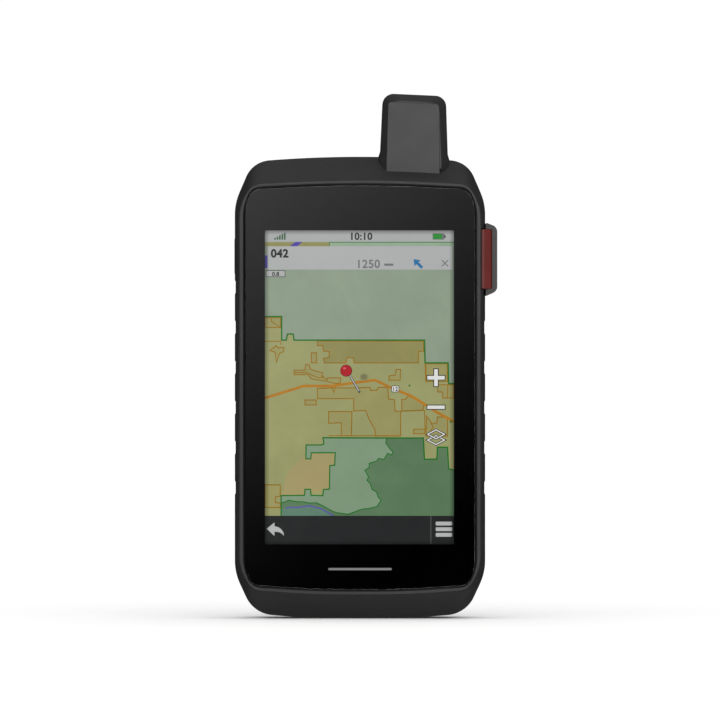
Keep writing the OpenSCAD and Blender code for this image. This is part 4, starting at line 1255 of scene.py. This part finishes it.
def make_caps():
    x, z = JACK
    axis = (x + 6.9, Y_BACK - 0.85)
    shape = slab_shape(x - 5.8, axis[0], z - 5, z + 5, 1.0, 6)
    cap = solid("antenna_jack_cover", shape, Y_BACK - 1.5, Y_BACK, 0.35, 0.12)
    weld(cap, rod("barrel", axis[0], axis[1], z - 5, z + 5, 0.72, "Z", 32),
         rod("plug", x, z, Y_BACK - 2.1, Y_BACK - 1.4, 1.3))
    for k in (-1.8, 1.8):
        groove = slab_shape(x - 4.3, x - 3.7, z + k - 1.2, z + k + 1.2, 0.28)
        cut(cap, pocket(groove, Y_BACK - 0.25, Y_BACK, 0.1))
    shade(cap, 40)
    piece(cap, "jack_flap", SEAL, "seal_rubber", "antenna_jack_cap")

    def lid(d):
        return rectangle(USB_X - 8 - d, USB_X + 8 + d, -2.2 - d, 5.4 + d, 1.1, 6)

    steps = [(2.5, -0.15), (2.38, -0.04), (2.25, 0.0), (1.4, 0.0), (1.2, -0.06), (1.06, -0.2), (1.0, -0.42)]
    cover = loft("usb_cover", [ring(lid(d), z, "Z") for z, d in steps])
    weld(cover, rod("barrel", 5.4, 1.75, USB_X - 8, USB_X + 8, 0.75, "X", 32))
    shade(cover, 40)
    piece(cover, "usb_flap", SEAL, "seal_rubber", "usb_cap")


make_spine()
make_caps()


# ---------------------------------------------------------------- finishes of the CAD nodes that stay
def carry(material, *nodes):
    for node in nodes:
        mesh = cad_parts[node].data
        mesh.materials.clear()
        mesh.materials.append(material)


carry(SEAL, "housing_seal", "battery_door_seal")
carry(STEEL, "sos_hinge_pin", "door_hinge_pins", "d_ring_pin", "lanyard_bar", "board_screws", "latch_clip")
carry(SCREW, "housing_screws", "spine_screws")
carry(GOLD, "battery_contacts", "cradle_contacts", "antenna_jack", "latch_insert")
carry(BOARD, "main_board")
carry(SHIELD, "shield_cans", "card_socket", "usb_port", "vibration_motor")
carry(CHIP, "board_chips", "sos_switch", "power_switch", "speaker")
carry(CHASSIS, "chassis_plate")
carry(CERAMIC, "gnss_patch_antenna")
carry(RIBBON, "display_flex")
carry(FORMER, "antenna_former")
carry(COPPER, "antenna_winding", "antenna_coax")
carry(PANEL_WHITE, "backlight_unit")
carry(CLOTH, "speaker_mesh")
carry(CARD_INK, "memory_card")


# ---------------------------------------------------------------- floor, light and camera
CAMERA_Y = -2500.0
VIEW_W = 251.3                  # width of the view where the unit stands
CENTRE_Z = 89.9
SENSOR = 36
CARD_Y = -420.0


def make_floor():
    floor = prism("floor", rectangle(-4000, 4000, -4000, 4000), -2.0, -0.02, "Z")
    material, tree, shader = tree_of("floor_white")
    colour = two_tone(tree, noise(tree, 3.0), (0.95, 0.95, 0.95), (0.97, 0.97, 0.97))
    tree.links.new(colour, shader.inputs["Base Color"])
    shader.inputs["Roughness"].default_value = 0.9
    shader.inputs["Specular IOR Level"].default_value = 0.0
    floor.data.materials.append(material)
    floor.visible_glossy = False


# Glow of the surroundings: front, back, share on the left, and what comes on top overhead and underneath
MATT_LIGHT = (1.48, 0.86, 0.86)
GLOSS_LIGHT = (0.05, 0.03, 0.5, 0.3, 0.18)
BACKDROP = 1.02


def make_world():
    """White to the camera, light on matt surfaces, and dark in reflections, which the cards light."""
    world = bpy.data.worlds.new("studio")
    bpy.context.scene.world = world
    tree = empty_tree(world)
    path = tree.nodes.new("ShaderNodeLightPath")
    output = tree.nodes.new("ShaderNodeOutputWorld")
    parts = place_parts(tree, "Generated")

    def background(front, back, left=1.0, above=0.0, below=0.0):
        """Glow that goes from front to back and from left to right, with more overhead and underneath."""
        depth = spread(tree, parts["Y"], front, back, -0.7, 0.7)
        glow = combine(tree, "MULTIPLY", depth, spread(tree, parts["X"], left, 1.0, -0.7, 0.7))
        for strength, start, end in ((above, 0.55, 1.0), (below, -0.3, -0.9)):
            glow = combine(tree, "ADD", glow, spread(tree, parts["Z"], 0.0, strength, start, end))
        node = tree.nodes.new("ShaderNodeBackground")
        node.inputs["Color"].default_value = (1, 1, 1, 1)
        tree.links.new(glow, node.inputs["Strength"])
        return node.outputs[0]

    matt, gloss = background(*MATT_LIGHT), background(*GLOSS_LIGHT)
    light = mix_shaders(tree, path.outputs["Is Glossy Ray"], matt, gloss)
    seen = mix_shaders(tree, path.outputs["Is Camera Ray"], light, background(BACKDROP, BACKDROP))
    tree.links.new(seen, output.inputs["Surface"])


def make_card(name, u, v, y, width, height, strengths, power=1.0):
    """Card seen only in reflections. Its glow blends four corner values and is raised to a power."""
    bm = bmesh.new()
    spots = [(-0.5, -0.5), (0.5, -0.5), (0.5, 0.5), (-0.5, 0.5)]
    bm.faces.new([bm.verts.new((a * width, 0, b * height)) for a, b in spots])
    card = to_object(name, bm)
    card.location = (u * MM, y * MM, v * MM)
    material = bpy.data.materials.new(name)
    tree = empty_tree(material)
    parts = place_parts(tree)

    def blend(low, high, axis, size):
        return spread(tree, parts[axis], low, high, -size / 2 * MM, size / 2 * MM)

    bottom_left, bottom_right, top_left, top_right = strengths
    bottom = blend(bottom_left, bottom_right, "X", width)
    value = combine(tree, "MAXIMUM", blend(bottom, blend(top_left, top_right, "X", width), "Z", height), 0.0)
    glow = tree.nodes.new("ShaderNodeEmission")
    tree.links.new(combine(tree, "POWER", value, power), glow.inputs["Strength"])
    output = tree.nodes.new("ShaderNodeOutputMaterial")
    tree.links.new(glow.outputs[0], output.inputs["Surface"])
    card.data.materials.append(material)
    card.visible_camera = False
    card.visible_diffuse = False
    card.visible_transmission = False
    card.visible_shadow = False


def make_lights():
    make_card("card_glass", 0, 79, CARD_Y, 102, 174, (0.14, -0.12, 0.92, 0.62), 2.0)
    make_card("card_above", 0, 246, CARD_Y, 500, 160, (2.6, 2.6, 2.6, 2.6))
    make_card("card_left", -131, 79, CARD_Y, 160, 174, (0.0, 0.0, 0.5, 0.5))
    make_card("card_right", 131, 79, CARD_Y, 160, 174, (1.4, 1.4, 1.2, 1.2))
    make_card("card_below", 0, -88, CARD_Y, 500, 160, (1.6, 1.6, 2.0, 2.0))
    make_card("card_back", 0, 95, -CARD_Y, 84, 160, (1.0, 1.0, 3.0, 2.4))


def make_camera():
    camera = bpy.data.objects.new("camera", bpy.data.cameras.new("camera"))
    bpy.context.scene.collection.objects.link(camera)
    camera.location = (0, CAMERA_Y * MM, CENTRE_Z * MM)
    camera.rotation_euler = (math.radians(90), 0, 0)
    camera.data.sensor_width = SENSOR
    camera.data.lens = SENSOR * -CAMERA_Y / VIEW_W
    camera.data.clip_end = 100
    bpy.context.scene.camera = camera


make_floor()
make_world()
make_lights()
make_camera()
bpy.context.scene.view_settings.view_transform = "Standard"
